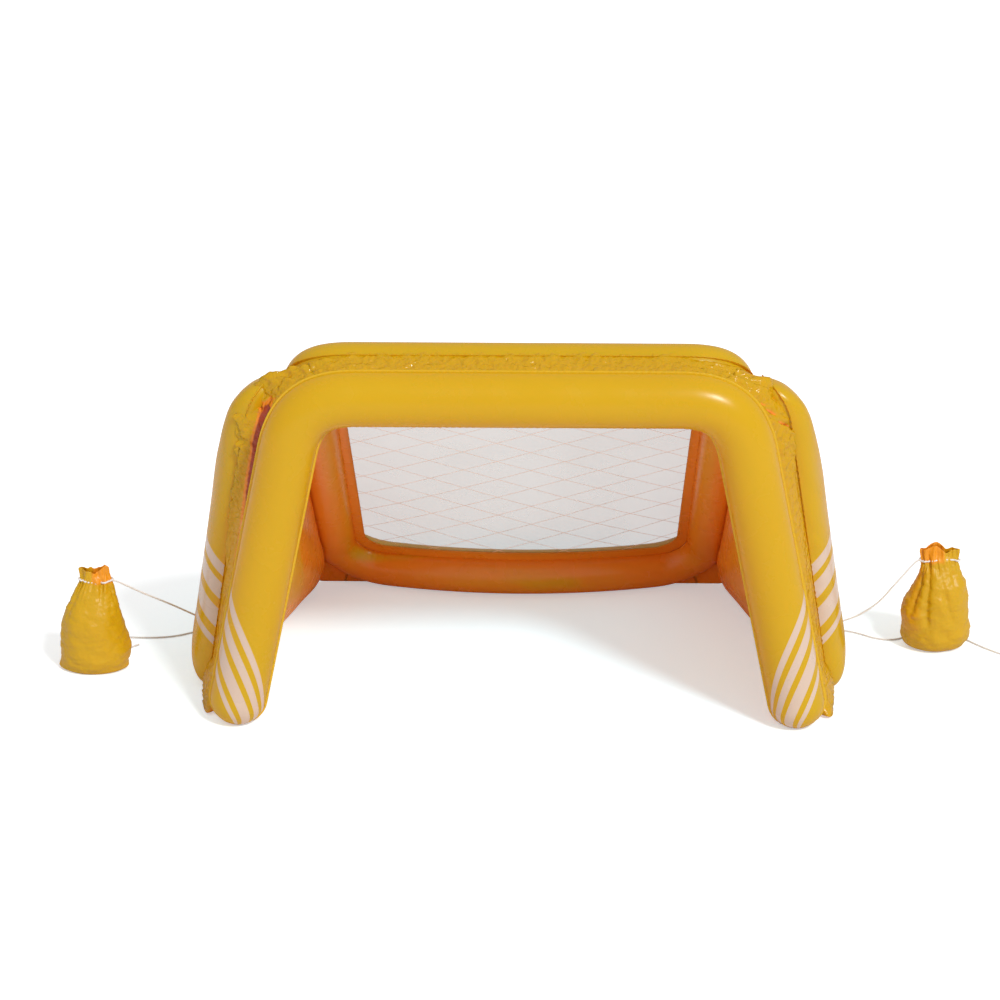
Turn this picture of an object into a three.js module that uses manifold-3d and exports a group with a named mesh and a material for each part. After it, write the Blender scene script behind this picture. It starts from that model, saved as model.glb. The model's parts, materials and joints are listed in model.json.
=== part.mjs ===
// Inflatable water polo goal. Four air chambers (a front arch, a sloping rear ring and two fat side
// cushions) are joined by welded vinyl sheets. A printed net film fills the ring, each chamber has
// a push-in valve, and two sand-filled anchor bags are tied on with cord.
// Millimetres, +Z up. The mouth faces -Y. The origin is on the floor, in the middle of the goal
// without its anchors.

import * as THREE from "three";
import { mergeVertices } from "three/addons/utils/BufferGeometryUtils.js";
import Module from "manifold-3d";

const wasm = await Module();
wasm.setup();

// Sizes of the whole
const WIDTH = 1400; // over the side cushions
const DEPTH = 859; // front of the arch to the back of the ring
const HEIGHT = 796; // floor to the top of the ring
const CLEARANCE = 0.3; // between two pieces that touch
const FLOOR_FLAT = 0.5; // what a tube gives up where it rests on the floor
const WELD_DEPTH = 8; // how far a sheet is drawn into a tube before it is trimmed to it
const ROUND = 0.55; // how squarely a corner turns when it is close to a circle's arc
const MERGE = 1e-4; // vertices closer than this are one
const SLIVER = 0.02; // a trimmed sheet may be this far off, so that it has no slivers

const arch = {
  tubeRadius: 57.5,
  footInset: 118, // leg centres in from the overall width, at the height of the foot's centre
  footSquash: 3, // flattened by the floor
  shoulderInset: 255, // where the legs' centre lines meet the bar's
  topDrop: 19.5, // its top below the ring's
  cornerCut: 118, // from that meeting point to where the bend starts
  cornerFullness: 0.72, // how squarely it turns
};

const ring = {
  tubeRadius: 50,
  topInset: 261, // side's centre line in from the overall width, at the top bar
  bottomInset: 281, // and at the bottom bar
  setback: 118, // top bar's centre behind the arch's
  bow: 84, // how far the bottom bar's middle comes forward
  topCut: 100,
  bottomCut: 122,
  topFullness: 0.7,
  cornerOverrun: 31, // what rounding takes off the depth of its bottom corners
};

const cushion = {
  halfThickness: 96,
  fullReach: 210, // distance from the seam at which it is fullest
  fillPower: 1.9,
  toeInset: 38.6, // middle of the thickness in from the overall width, at the floor line's front end
  heelTaper: 185.4, // how much further in it is at the rear end
  toeGap: 100, // floor line's front end behind the arch's tube
  heelInset: 26, // floor line's rear end before the ring's centre line
  topGap: 12,
  topDrop: 75, // its top below the ring's
  topLength: 98,
  topLeanIn: 141, // how far the middle of the thickness comes in from the floor to the top
  topCurl: 24, // and further in, over the uppermost curlDepth
  curlDepth: 75,
  squash: 8, // flattened against the floor
  centreShares: [0.26, 0.34], // fullest place, along the floor line and up the height
  toeCut: 56,
  heelCut: 128,
  topBackCut: 42,
  topFrontCut: 38,
};

const web = {
  thickness: 2,
  seamAngle: 38, // degrees from the arch's outer line towards its back
  ringAngle: 62, // degrees up from the ring's front
  cornerLift: 22, // how far the sheet stands out at the top corners
  outset: [14, 46], // low and high beside a leg, it is welded this far outside the cushion's front seam
  outsetDepth: [12, 44], // and this far behind it
  legLift: [8, 16], // how far it stands out there
  finForward: 24, // the loose end beside each foot
  finHeight: 80,
  pucker: 4,
  puckerPitch: 74,
  topInset: 50, // the top web ends this far inside the arch's shoulder, and the side webs start
};

const gusset = {
  thickness: 2,
  sideReach: 170, // up the ring's side from its bottom bar
  floorOverhang: 56, // outer end of its floor line beyond the ring's bottom corner
  innerReach: 67, // inner end before that corner
  floorInset: 30.5, // floor line in front of the ring's bottom bar
  floorLift: 1.4,
};

const net = {
  borderWidth: 20,
  bottomExtra: 20, // the band is wider by this along the bottom
  borderThickness: 2,
  filmThickness: 1,
  filmOverlap: 10, // film's edge behind the border
  filmGap: 0.85, // room for the facets of two bowed sheets
};

const valve = {
  flangeRadius: 14,
  flangeThickness: 1.5,
  collarRadius: 8,
  collarDepth: 12,
  stemRadius: 5,
  stemBore: 4.3,
  stemFloor: 1.5,
  reach: 14, // rim above the flange when drawn out
  travel: 12, // how far it pushes in
  rimRadius: 7,
  rimThickness: 1.6,
  lugReach: 8.5,
  lugWidth: 4,
  capRadius: 6.8,
  capThickness: 2,
  plugRadius: 3.8,
  plugLength: 2.5,
  barrelRadius: 1,
  strapThickness: 1.2,
  archOffset: 250, // along the bar, from the middle
  ringCornerShare: 0.34, // along the ring's lower left corner
  cushionShares: [0.559, 0.252], // along the cushion's floor line and up its height
  cushionSink: 2.2,
  tubeSinkShare: 1.4, // a tube's pocket is this many times as deep as the tube curves under the flange
};

const tab = {
  reach: 30, // from the cushion's skin to the tip
  height: 30,
  thickness: 3,
  patchLength: 62,
  patchHeight: 40,
  patchThickness: 1.5,
  lengthShare: 0.429, // along the cushion's floor line
  centreHeight: 36,
  holeInset: 14, // hole's centre from the tip
};

const eyelet = { bore: 4.5, wall: 1.6, flange: 1.8, flangeThickness: 0.8 };

const bag = {
  height: 238,
  halfWidth: 75,
  halfDepth: 56,
  skin: 1,
  mouthGap: 3, // the drawn mouth's opening
  ballastShare: 0.6, // how far up the sand reaches
  neckShare: 0.86,
};

// Each anchor: where its bag stands, and its cord's points from the neck to the tab and back. They
// are measured from the tab's hole, outwards and backwards, and then up from the floor
const cordRadius = 2;
const anchors = {
  left: {
    side: -1,
    bagCentre: [263.8, -170.5],
    cord: [
      [226, -170.5, 204.7], [209.8, -164, 198], [163.8, -132, 160], [107.8, -90, 115],
      [57.8, -55, 74], [23.8, -33, 48], [4.8, -15, 38], [1.25, 0, 36], [1.8, 15, 33],
      [9.8, 33, 18], [31.8, 37, 5], [63.8, 21, 2.2], [101.8, -2.5, 2.2], [139.8, -13.5, 2.2],
      [177.8, -15.5, 2.2], [212.8, -13.5, 2.2], [251.8, -9.5, 2.2], [287.8, -12.5, 2.2],
      [313.8, -30.5, 2.2], [311.8, -58.5, 2.2], [283.8, -74.5, 2.2], [243.8, -76.5, 2.2],
      [204.8, -69.5, 2.2], [183.8, -52.5, 2.2],
    ],
  },
  right: {
    side: 1,
    bagCentre: [261.8, -24.5],
    cord: [
      [224, -24.5, 204.7], [208.8, -28, 196], [168.8, -38.5, 152], [133.8, -36.5, 108],
      [95.8, -30.5, 76], [61.8, -28.5, 60], [27.8, -26.5, 47], [5.8, -14.5, 38], [1.25, 0, 36],
      [1.8, 15.5, 33], [9.8, 35.5, 18], [37.8, 48.5, 4], [73.8, 45.5, 2.2], [101.8, 30.5, 2.2],
      [126.8, 11.5, 2.2], [156.8, -0.5, 2.2], [185.8, 5.5, 2.2], [207.8, 29.5, 2.2],
      [243.8, 46.5, 2.2], [281.8, 44.5, 2.2], [311.8, 27.5, 2.2], [334.8, -0.5, 2.2],
      [363.8, -36.5, 2.2], [398.8, -71.5, 2.2], [435.8, -92.5, 2.2], [463.8, -100.5, 2.2],
    ],
  },
};

// Facets
const facets = {
  archSides: 18,
  archStraight: 6,
  archCorner: 6,
  ringSides: 16,
  ringStraight: 6,
  ringCorner: 5,
  borderStraight: 8,
  cushionCorner: 4,
  cushionStraight: 6,
  cushionRings: 6,
  dome: 4,
  webAcross: 2,
  webPerPucker: 4,
  gussetEdge: 3,
  netAcross: 16,
  netDown: 9,
  round: 14,
  bagSides: 16,
  cordSides: 8,
  cordSteps: 60,
};

// Worked-out places
const archY = -DEPTH / 2 + arch.tubeRadius;
const footHeight = arch.tubeRadius - arch.footSquash;
const footHalfSpan = WIDTH / 2 - arch.footInset;
const shoulderHalfSpan = WIDTH / 2 - arch.shoulderInset;
const archHeight = HEIGHT - arch.topDrop - arch.tubeRadius;
const topHalfSpan = WIDTH / 2 - ring.topInset;
const bottomHalfSpan = WIDTH / 2 - ring.bottomInset;
const ringTop = new THREE.Vector3(0, archY + ring.setback, HEIGHT - ring.tubeRadius);
const ringBottom = new THREE.Vector3(
  0, DEPTH / 2 + ring.cornerOverrun - ring.tubeRadius, ring.tubeRadius - FLOOR_FLAT,
);
const slopeLength = ringBottom.distanceTo(ringTop);
const downSlope = ringBottom.clone().sub(ringTop).normalize();
const acrossGoal = new THREE.Vector3(1, 0, 0);
const backwards = new THREE.Vector3(0, 1, 0);
const netNormal = acrossGoal.clone().cross(downSlope);
const sides = { left: -1, right: 1 };

// Solids

function solid(geometry) {
  const plain = new THREE.BufferGeometry();
  plain.setAttribute("position", geometry.getAttribute("position"));
  if (geometry.index) plain.setIndex(geometry.index);
  const merged = mergeVertices(plain, MERGE);
  const vertProperties = merged.attributes.position.array;
  const triVerts = new Uint32Array(merged.index.array);
  const made = new wasm.Manifold(new wasm.Mesh({ numProp: 3, vertProperties, triVerts }));
  if (made.volume() > 0) return made;
  triVerts.reverse();
  return new wasm.Manifold(new wasm.Mesh({ numProp: 3, vertProperties, triVerts }));
}

function geometryOf(made) {
  const mesh = made.getMesh();
  const geometry = new THREE.BufferGeometry();
  geometry.setAttribute("position", new THREE.BufferAttribute(mesh.vertProperties, 3));
  geometry.setIndex(new THREE.BufferAttribute(mesh.triVerts, 1));
  return geometry;
}

// Trimming a sheet can leave crumbs, and the piece itself is the largest body
function largest(made) {
  return made.decompose().reduce((a, b) => (a.volume() > b.volume() ? a : b));
}

// A skin through rings of points. Two poles close its ends. With no poles it is a closed loop
function loft(rings, poles) {
  const count = rings[0].length;
  const points = rings.flat();
  const faces = [];
  const spans = poles ? rings.length - 1 : rings.length;
  for (let i = 0; i < spans; i++) {
    const a = i * count;
    const b = ((i + 1) % rings.length) * count;
    for (let j = 0; j < count; j++) {
      const k = (j + 1) % count;
      faces.push(a + j, b + j, b + k, a + j, b + k, a + k);
    }
  }
  if (poles) {
    const last = (rings.length - 1) * count;
    const first = points.push(poles[0]) - 1;
    const end = points.push(poles[1]) - 1;
    for (let j = 0; j < count; j++) {
      const k = (j + 1) % count;
      faces.push(first, j, k, end, last + k, last + j);
    }
  }
  return new THREE.BufferGeometry().setFromPoints(points).setIndex(faces);
}

// Rings of a round tube along a route. Across is a direction that the route never points in
function tubeRings(route, radius, count, across, closed) {
  return route.map((centre, i) => {
    const before = route[closed ? (i + route.length - 1) % route.length : Math.max(i - 1, 0)];
    const after = route[closed ? (i + 1) % route.length : Math.min(i + 1, route.length - 1)];
    const along = after.clone().sub(before).normalize();
    const u = across.clone().addScaledVector(along, -across.dot(along)).normalize();
    const w = along.clone().cross(u);
    return Array.from({ length: count }, (_, j) => {
      const turn = (2 * Math.PI * j) / count;
      return centre
        .clone()
        .addScaledVector(u, radius * Math.cos(turn))
        .addScaledVector(w, radius * Math.sin(turn));
    });
  });
}

// An open tube with domed ends
function domedTube(route, radius, count, across) {
  const rings = tubeRings(route, radius, count, across, false);
  const dome = (centre, inner, ringPoints) => {
    const out = centre.clone().sub(inner).normalize();
    const made = [];
    for (let k = 1; k < facets.dome; k++) {
      const rise = (Math.PI / 2) * (k / facets.dome);
      const hub = centre.clone().addScaledVector(out, radius * Math.sin(rise));
      made.push(ringPoints.map((p) => p.clone().sub(centre).multiplyScalar(Math.cos(rise)).add(hub)));
    }
    return { made, pole: centre.clone().addScaledVector(out, radius) };
  };
  const start = dome(route[0], route[1], rings[0]);
  const end = dome(route.at(-1), route.at(-2), rings.at(-1));
  return loft([...start.made.reverse(), ...rings, ...end.made], [start.pole, end.pole]);
}

// A sheet of even thickness through rows of points. A closed one is a band
function sheet(rows, thickness, closed) {
  const width = rows[0].length;
  const layers = rows.map((row, i) => {
    const before = rows[closed ? (i + rows.length - 1) % rows.length : Math.max(i - 1, 0)];
    const after = rows[closed ? (i + 1) % rows.length : Math.min(i + 1, rows.length - 1)];
    return row.map((p, j) => {
      const along = after[j].clone().sub(before[j]);
      const across = row[Math.min(j + 1, width - 1)].clone().sub(row[Math.max(j - 1, 0)]);
      const normal = along.cross(across).normalize();
      return [
        p.clone().addScaledVector(normal, thickness / 2),
        p.clone().addScaledVector(normal, -thickness / 2),
      ];
    });
  });
  const rings = layers.map((layer) => [
    ...layer.map((pair) => pair[0]),
    ...layer.map((pair) => pair[1]).reverse(),
  ]);
  const made = loft(rings);
  if (closed) return made;
  // The loop's last span is replaced by a ladder of faces across each end
  const size = 2 * width;
  const faces = Array.from(made.index.array).slice(0, (rows.length - 1) * size * 6);
  const last = (rows.length - 1) * size;
  for (let j = 0; j < width - 1; j++) {
    const far = size - 1 - j;
    faces.push(j, j + 1, far - 1, j, far - 1, far);
    faces.push(last + j, last + far - 1, last + j + 1, last + j, last + far, last + far - 1);
  }
  return made.setIndex(faces);
}

// Points round a polygon whose corners are rounded, or along an open line when closed is false
function roundedRoute(corners, cuts, straightSteps, cornerSteps, closed, fullness) {
  const count = corners.length;
  const towards = (from, to, cut) => from.clone().addScaledVector(to.clone().sub(from).normalize(), cut);
  const bends = corners.map((corner, i) => {
    if (!closed && (i === 0 || i === count - 1)) return [corner];
    const before = corners[(i + count - 1) % count];
    const after = corners[(i + 1) % count];
    const start = towards(corner, before, cuts[i]);
    const end = towards(corner, after, cuts[i]);
    const full = fullness ? fullness[i] : ROUND;
    const bend = new THREE.CubicBezierCurve3(
      start, start.clone().lerp(corner, full), end.clone().lerp(corner, full), end,
    );
    return bend.getPoints(cornerSteps);
  });
  const route = [];
  bends.forEach((bend, i) => {
    route.push(...bend);
    if (!closed && i === count - 1) return;
    const from = bend.at(-1);
    const to = bends[(i + 1) % count][0];
    for (let k = 1; k < straightSteps; k++) route.push(from.clone().lerp(to, k / straightSteps));
  });
  return route;
}

// A block that takes away everything below the floor
const floorBlock = solid(
  new THREE.BoxGeometry(2 * WIDTH, 2 * DEPTH, HEIGHT).translate(0, 0, -HEIGHT / 2),
);

function revolve(profile) {
  const geometry = new THREE.LatheGeometry(profile.map(([r, z]) => new THREE.Vector2(r, z)), facets.round);
  return solid(geometry.rotateX(Math.PI / 2));
}

function boxBetween(low, high) {
  const size = high.map((value, i) => value - low[i]);
  const middle = high.map((value, i) => (value + low[i]) / 2);
  return solid(new THREE.BoxGeometry(...size).translate(...middle));
}

// Front arch

const archCorners = [
  [-footHalfSpan, footHeight],
  [-shoulderHalfSpan, archHeight],
  [shoulderHalfSpan, archHeight],
  [footHalfSpan, footHeight],
].map(([x, z]) => new THREE.Vector3(x, archY, z));

const archRoute = roundedRoute(
  archCorners, [0, arch.cornerCut, arch.cornerCut, 0], facets.archStraight, facets.archCorner, false,
  archCorners.map(() => arch.cornerFullness),
);

function archSolid(extra) {
  return solid(domedTube(archRoute, arch.tubeRadius + extra, facets.archSides, backwards));
}

// Rear ring. Its plane has u across the goal and v down the slope from the top bar's centre line

function netPoint(u, v, lift = 0) {
  const share = v / slopeLength;
  const span = u / bottomHalfSpan;
  const point = ringTop.clone().addScaledVector(downSlope, v).addScaledVector(netNormal, lift);
  point.x = u;
  point.y -= ring.bow * Math.max(0, 1 - span * span) * share * share;
  return point;
}

function ringLoop(inset, straightSteps = facets.ringStraight, bottomRise = 0) {
  const bottom = slopeLength - inset - bottomRise;
  const corners = [
    [-(topHalfSpan - inset), inset],
    [topHalfSpan - inset, inset],
    [bottomHalfSpan - inset, bottom],
    [-(bottomHalfSpan - inset), bottom],
  ].map(([u, v]) => new THREE.Vector3(u, v, 0));
  const cuts = [ring.topCut, ring.topCut, ring.bottomCut, ring.bottomCut].map((cut) => cut - inset);
  const fullness = [ring.topFullness, ring.topFullness, ROUND, ROUND];
  return roundedRoute(corners, cuts, straightSteps, facets.ringCorner, true, fullness);
}

const ringRoute = ringLoop(0).map((p) => netPoint(p.x, p.y));

function ringSolid(extra) {
  return solid(loft(tubeRings(ringRoute, ring.tubeRadius + extra, facets.ringSides, netNormal, true)));
}

// Side cushions: a rounded triangle seen from the side, filled like a pillow

const cushionHeight = HEIGHT - cushion.topDrop;
const toeHalfSpan = WIDTH / 2 - cushion.toeInset;
const toeY = archY + arch.tubeRadius + cushion.toeGap;
const topY = archY + arch.tubeRadius + cushion.topGap;
const ringLine = (z) => ringTop.y + ((ringTop.z - z) * downSlope.y) / -downSlope.z;
const heelY = ringLine(-cushion.squash) - cushion.heelInset;
const frontSeam = (z) => toeY + (topY - toeY) * (z / cushionHeight);

const cushionOutline = roundedRoute(
  [
    [toeY, -cushion.squash],
    [heelY, -cushion.squash],
    [topY + cushion.topLength, cushionHeight],
    [topY, cushionHeight],
  ].map(([y, z]) => new THREE.Vector3(0, y, z)),
  [cushion.toeCut, cushion.heelCut, cushion.topBackCut, cushion.topFrontCut],
  facets.cushionStraight, facets.cushionCorner, true,
);

// Its fullest place, seen from the side
const cushionCentre = new THREE.Vector3(
  0, THREE.MathUtils.lerp(toeY, heelY, cushion.centreShares[0]), cushion.centreShares[1] * cushionHeight,
);

// Middle of the thickness
function cushionMiddle(y, z) {
  const along = (y - toeY) / (heelY - toeY);
  const floorLine = toeHalfSpan - cushion.heelTaper * along;
  const over = Math.max(0, (z - cushionHeight + cushion.curlDepth) / cushion.curlDepth);
  return floorLine - cushion.topLeanIn * (z / cushionHeight) - cushion.topCurl * over * over;
}

// Half of the thickness, which grows with the distance from the seam
function cushionFill(y, z) {
  const at = new THREE.Vector3(0, y, z);
  const nearest = new THREE.Vector3();
  const distances = cushionOutline.map((a, i) => {
    const b = cushionOutline[(i + 1) % cushionOutline.length];
    return new THREE.Line3(a, b).closestPointToPoint(at, true, nearest).distanceTo(at);
  });
  const short = 1 - Math.min(1, Math.min(...distances) / cushion.fullReach);
  return cushion.halfThickness * Math.sqrt(1 - short ** cushion.fillPower);
}

function cushionSolid(side, extra) {
  const ringAt = (share, face) =>
    cushionOutline.map((edge) => {
      const arm = edge.clone().sub(cushionCentre);
      const inside = arm.clone().multiplyScalar(share).add(cushionCentre);
      const bulge = face * (share < 1 ? cushionFill(inside.y, inside.z) + extra : 0);
      const grown = arm.multiplyScalar(share * (1 + extra / arm.length())).add(cushionCentre);
      return new THREE.Vector3(side * (cushionMiddle(grown.y, grown.z) + bulge), grown.y, grown.z);
    });
  const shares = Array.from({ length: facets.cushionRings - 1 }, (_, k) =>
    Math.sin((Math.PI / 2) * ((k + 1) / facets.cushionRings)),
  );
  const rings = [
    ...shares.map((share) => ringAt(share, 1)),
    ringAt(1, 1),
    ...shares.map((share) => ringAt(share, -1)).reverse(),
  ];
  const { y, z } = cushionCentre;
  const poles = [1, -1].map(
    (face) => new THREE.Vector3(side * (cushionMiddle(y, z) + face * (cushionFill(y, z) + extra)), y, z),
  );
  return solid(loft(rings, poles));
}

// A point on the cushion's outer skin, and the way that the skin faces there
function cushionSkin(side, y, z) {
  const step = cushion.squash;
  const outer = (yy, zz) => cushionMiddle(yy, zz) + cushionFill(yy, zz);
  const normal = new THREE.Vector3(
    side,
    (outer(y - step, z) - outer(y + step, z)) / (2 * step),
    (outer(y, z - step) - outer(y, z + step)) / (2 * step),
  ).normalize();
  return { point: new THREE.Vector3(side * outer(y, z), y, z), normal };
}

// Webs: one puckered strip behind the arch from foot to foot, cut into a top and two side webs

const legDirection = archCorners[1].clone().sub(archCorners[0]).normalize();
const bendStart = archCorners[1].clone().addScaledVector(legDirection, -arch.cornerCut);
const bendEnd = archCorners[1].clone().addScaledVector(acrossGoal, arch.cornerCut);

// How far round the arch's corner a point of its centre line is: 0 on the leg, 1 on the bar
function roundCorner(centre) {
  const chord = bendEnd.clone().sub(bendStart);
  const mirrored = new THREE.Vector3(-Math.abs(centre.x), centre.y, centre.z);
  return THREE.MathUtils.smoothstep(mirrored.sub(bendStart).dot(chord) / chord.lengthSq(), 0, 1);
}

function webStations() {
  const below = legDirection.clone().multiplyScalar(-arch.tubeRadius);
  const first = archRoute[0].clone().add(below);
  const last = first.clone().setX(-first.x);
  const curve = new THREE.CatmullRomCurve3([first, ...archRoute, last]);
  const count = Math.round(curve.getLength() / web.puckerPitch) * facets.webPerPucker;
  const seam = THREE.MathUtils.degToRad(web.seamAngle);
  const ringTurn = THREE.MathUtils.degToRad(web.ringAngle);
  return Array.from({ length: count + 1 }, (_, i) => {
    const centre = curve.getPointAt(i / count);
    const outward = curve.getTangentAt(i / count).cross(backwards);
    const side = Math.sign(centre.x) || 1;
    const inTube = arch.tubeRadius - WELD_DEPTH;
    const start = centre
      .clone()
      .addScaledVector(outward, inTube * Math.cos(seam))
      .addScaledVector(backwards, inTube * Math.sin(seam));

    // The far edge lies on the cushion's front seam beside a leg, and on the ring's bar at the top
    const height = Math.min(centre.z, cushionHeight - cushion.topFrontCut);
    const seamY = frontSeam(height);
    const fin = Math.max(0, 1 - centre.z / web.finHeight);
    const rise = (height / cushionHeight) ** 3;
    const [outset, depth, lift] = [web.outset, web.outsetDepth, web.legLift].map(([low, high]) =>
      THREE.MathUtils.lerp(low, high, rise),
    );
    const outside = cushionMiddle(seamY, height) + outset * (1 - fin);
    const onCushion = new THREE.Vector3(side * outside, seamY + depth, height);
    const inRing = ring.tubeRadius - WELD_DEPTH;
    const along = Math.min(Math.abs(centre.x), topHalfSpan - WELD_DEPTH);
    const onRing = new THREE.Vector3(
      side * along, ringTop.y - inRing * Math.cos(ringTurn), ringTop.z + inRing * Math.sin(ringTurn),
    );
    const onTop = roundCorner(centre);
    const end = onCushion.lerp(onRing, onTop);

    // Between them it stands out at the corners, puckers, and ends in a fin beside each foot
    const corner = 4 * onTop * (1 - onTop);
    const fromMiddle = Math.abs(i - count / 2);
    const pucker = web.pucker * Math.sin((2 * Math.PI * fromMiddle) / facets.webPerPucker + onTop);
    const middle = start.clone().lerp(end, 0.5);
    middle.addScaledVector(outward, 2 * (lift * (1 - onTop) + corner * web.cornerLift + pucker));
    middle.y -= 2 * fin * web.finForward;
    return new THREE.QuadraticBezierCurve3(start, middle, end).getPoints(facets.webAcross);
  });
}

// Gussets: from the ring's lower corner to the cushion's rear seam and the floor

function gussetRows(side) {
  const start = slopeLength - gusset.sideReach;
  const innerHalfSpan = bottomHalfSpan - gusset.innerReach;
  const path = roundedRoute(
    [
      [THREE.MathUtils.lerp(topHalfSpan, bottomHalfSpan, start / slopeLength), start],
      [bottomHalfSpan, slopeLength],
      [bottomHalfSpan - 2 * ring.bottomCut, slopeLength],
    ].map(([u, v]) => new THREE.Vector3(u, v, 0)),
    [0, ring.bottomCut, 0], 1, 2 * facets.ringCorner, false,
  ).filter((p) => p.x > innerHalfSpan);
  const top = netPoint(path[0].x, path[0].y);
  const floorY = ringBottom.y - gusset.floorInset;
  const edge = roundedRoute(
    [
      [cushionMiddle(top.y, top.z), top.y, top.z],
      [bottomHalfSpan + gusset.floorOverhang, floorY, gusset.floorLift],
      [innerHalfSpan, floorY, gusset.floorLift],
    ].map((point) => new THREE.Vector3(...point)),
    [0, ring.tubeRadius / 2, 0], facets.gussetEdge, facets.gussetEdge, false,
  );
  const outerLine = new THREE.CatmullRomCurve3(edge, false, "centripetal");
  return path.map((p, i) => {
    const inner = netPoint(p.x, p.y);
    const outer = outerLine.getPoint(i / (path.length - 1));
    return [inner, outer].map((q) => q.setX(side * q.x));
  });
}

// Net border and film

function borderRows() {
  const outer = ringLoop(ring.tubeRadius - WELD_DEPTH, facets.borderStraight);
  const inner = ringLoop(ring.tubeRadius + net.borderWidth, facets.borderStraight, net.bottomExtra);
  return outer.map((p, i) => [p, inner[i]].map((q) => netPoint(q.x, q.y)));
}

function filmRows() {
  const inset = ring.tubeRadius + net.borderWidth - net.filmOverlap;
  const lift = net.borderThickness / 2 + net.filmGap + net.filmThickness / 2;
  return Array.from({ length: facets.netDown + 1 }, (_, i) => {
    const v = THREE.MathUtils.lerp(inset, slopeLength - inset, i / facets.netDown);
    const half = THREE.MathUtils.lerp(topHalfSpan, bottomHalfSpan, v / slopeLength) - inset;
    return Array.from({ length: facets.netAcross + 1 }, (_, j) =>
      netPoint(half * ((2 * j) / facets.netAcross - 1), v, lift),
    );
  });
}

// Valves. Each is drawn standing up along +Z from the chamber's skin, its strap hinge towards +X

const pivotReach = valve.lugReach + CLEARANCE + valve.barrelRadius;
const rimTop = valve.flangeThickness + valve.reach;

function valveSeat(sink) {
  const bore = valve.stemRadius + CLEARANCE;
  return revolve([
    [bore, -valve.collarDepth],
    [valve.collarRadius, -valve.collarDepth],
    [valve.collarRadius, -sink],
    [valve.flangeRadius, -sink],
    [valve.flangeRadius, valve.flangeThickness / 2],
    [valve.flangeRadius - valve.flangeThickness / 2, valve.flangeThickness],
    [bore, valve.flangeThickness],
    [bore, -valve.collarDepth],
  ]);
}

function valvePocket(sink) {
  const depth = valve.collarDepth + valve.travel + 2 * valve.stemFloor;
  return revolve([
    [0, -depth],
    [valve.collarRadius + CLEARANCE, -depth],
    [valve.collarRadius + CLEARANCE, -sink - CLEARANCE],
    [valve.flangeRadius + CLEARANCE, -sink - CLEARANCE],
    [valve.flangeRadius + CLEARANCE, rimTop],
    [0, rimTop],
  ]);
}

function valveStem() {
  const bottom = -valve.collarDepth - valve.stemFloor;
  const body = revolve([
    [0, bottom],
    [valve.stemRadius, bottom],
    [valve.stemRadius, rimTop - valve.rimThickness],
    [valve.rimRadius, rimTop - valve.rimThickness],
    [valve.rimRadius, rimTop],
    [valve.stemBore, rimTop],
    [valve.stemBore, bottom + valve.stemFloor],
    [0, bottom + valve.stemFloor],
  ]);
  const lug = boxBetween(
    [valve.stemRadius, -valve.lugWidth / 2, rimTop - valve.rimThickness],
    [valve.lugReach, valve.lugWidth / 2, rimTop],
  );
  return body.add(lug);
}

// The cap is drawn about its strap's hinge
function valveCap() {
  const head = revolve([
    [0, -valve.plugLength],
    [valve.plugRadius, -valve.plugLength],
    [valve.plugRadius, CLEARANCE],
    [valve.capRadius, CLEARANCE],
    [valve.capRadius, CLEARANCE + valve.capThickness / 2],
    [valve.capRadius - valve.capThickness / 2, CLEARANCE + valve.capThickness],
    [0, CLEARANCE + valve.capThickness],
  ]).translate([-pivotReach, 0, 0]);
  const strap = boxBetween(
    [valve.plugRadius - pivotReach, -valve.lugWidth / 2, CLEARANCE],
    [0, valve.lugWidth / 2, CLEARANCE + valve.strapThickness],
  );
  const barrel = solid(
    new THREE.CylinderGeometry(valve.barrelRadius, valve.barrelRadius, valve.lugWidth, facets.round / 2),
  );
  return head.add(strap).add(barrel);
}

// Where each valve stands: its point on the skin, the way it points, and how deep its flange sits
function valvePlaces() {
  const sagitta = (radius) => radius - Math.sqrt(radius ** 2 - valve.flangeRadius ** 2);
  const downBack = new THREE.Vector3(0, 1, -1).normalize();
  const bar = new THREE.Vector3(valve.archOffset, archY, archHeight);
  const cornerStart = 3 * (facets.ringCorner + facets.ringStraight);
  const onRing = ringRoute[cornerStart + Math.round(valve.ringCornerShare * facets.ringCorner)];
  const [lengthShare, heightShare] = valve.cushionShares;
  const cushionY = THREE.MathUtils.lerp(toeY, heelY, lengthShare);
  const places = {
    arch: {
      point: bar.addScaledVector(downBack, arch.tubeRadius),
      normal: downBack,
      sink: valve.tubeSinkShare * sagitta(arch.tubeRadius),
    },
    ring: {
      point: onRing.clone().addScaledVector(netNormal, ring.tubeRadius),
      normal: netNormal,
      sink: valve.tubeSinkShare * sagitta(ring.tubeRadius),
    },
  };
  for (const [name, side] of Object.entries(sides)) {
    places[name] = { ...cushionSkin(side, cushionY, heightShare * cushionHeight), sink: valve.cushionSink };
  }
  return places;
}

function frameAt({ point, normal }) {
  const u = acrossGoal.clone().addScaledVector(normal, -acrossGoal.dot(normal));
  if (u.length() < Math.SQRT1_2) u.copy(backwards).addScaledVector(normal, -backwards.dot(normal));
  u.normalize();
  return new THREE.Matrix4().makeBasis(u, normal.clone().cross(u), normal).setPosition(point);
}

const pocketAt = (place) => valvePocket(place.sink).transform(frameAt(place).toArray());

// Tie tabs and their eyelets

const tabY = THREE.MathUtils.lerp(toeY, heelY, tab.lengthShare);
const holeX = cushionSkin(1, tabY, tab.centreHeight).point.x + tab.reach - tab.holeInset;
const holeRadius = eyelet.bore + eyelet.wall + CLEARANCE;

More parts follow.
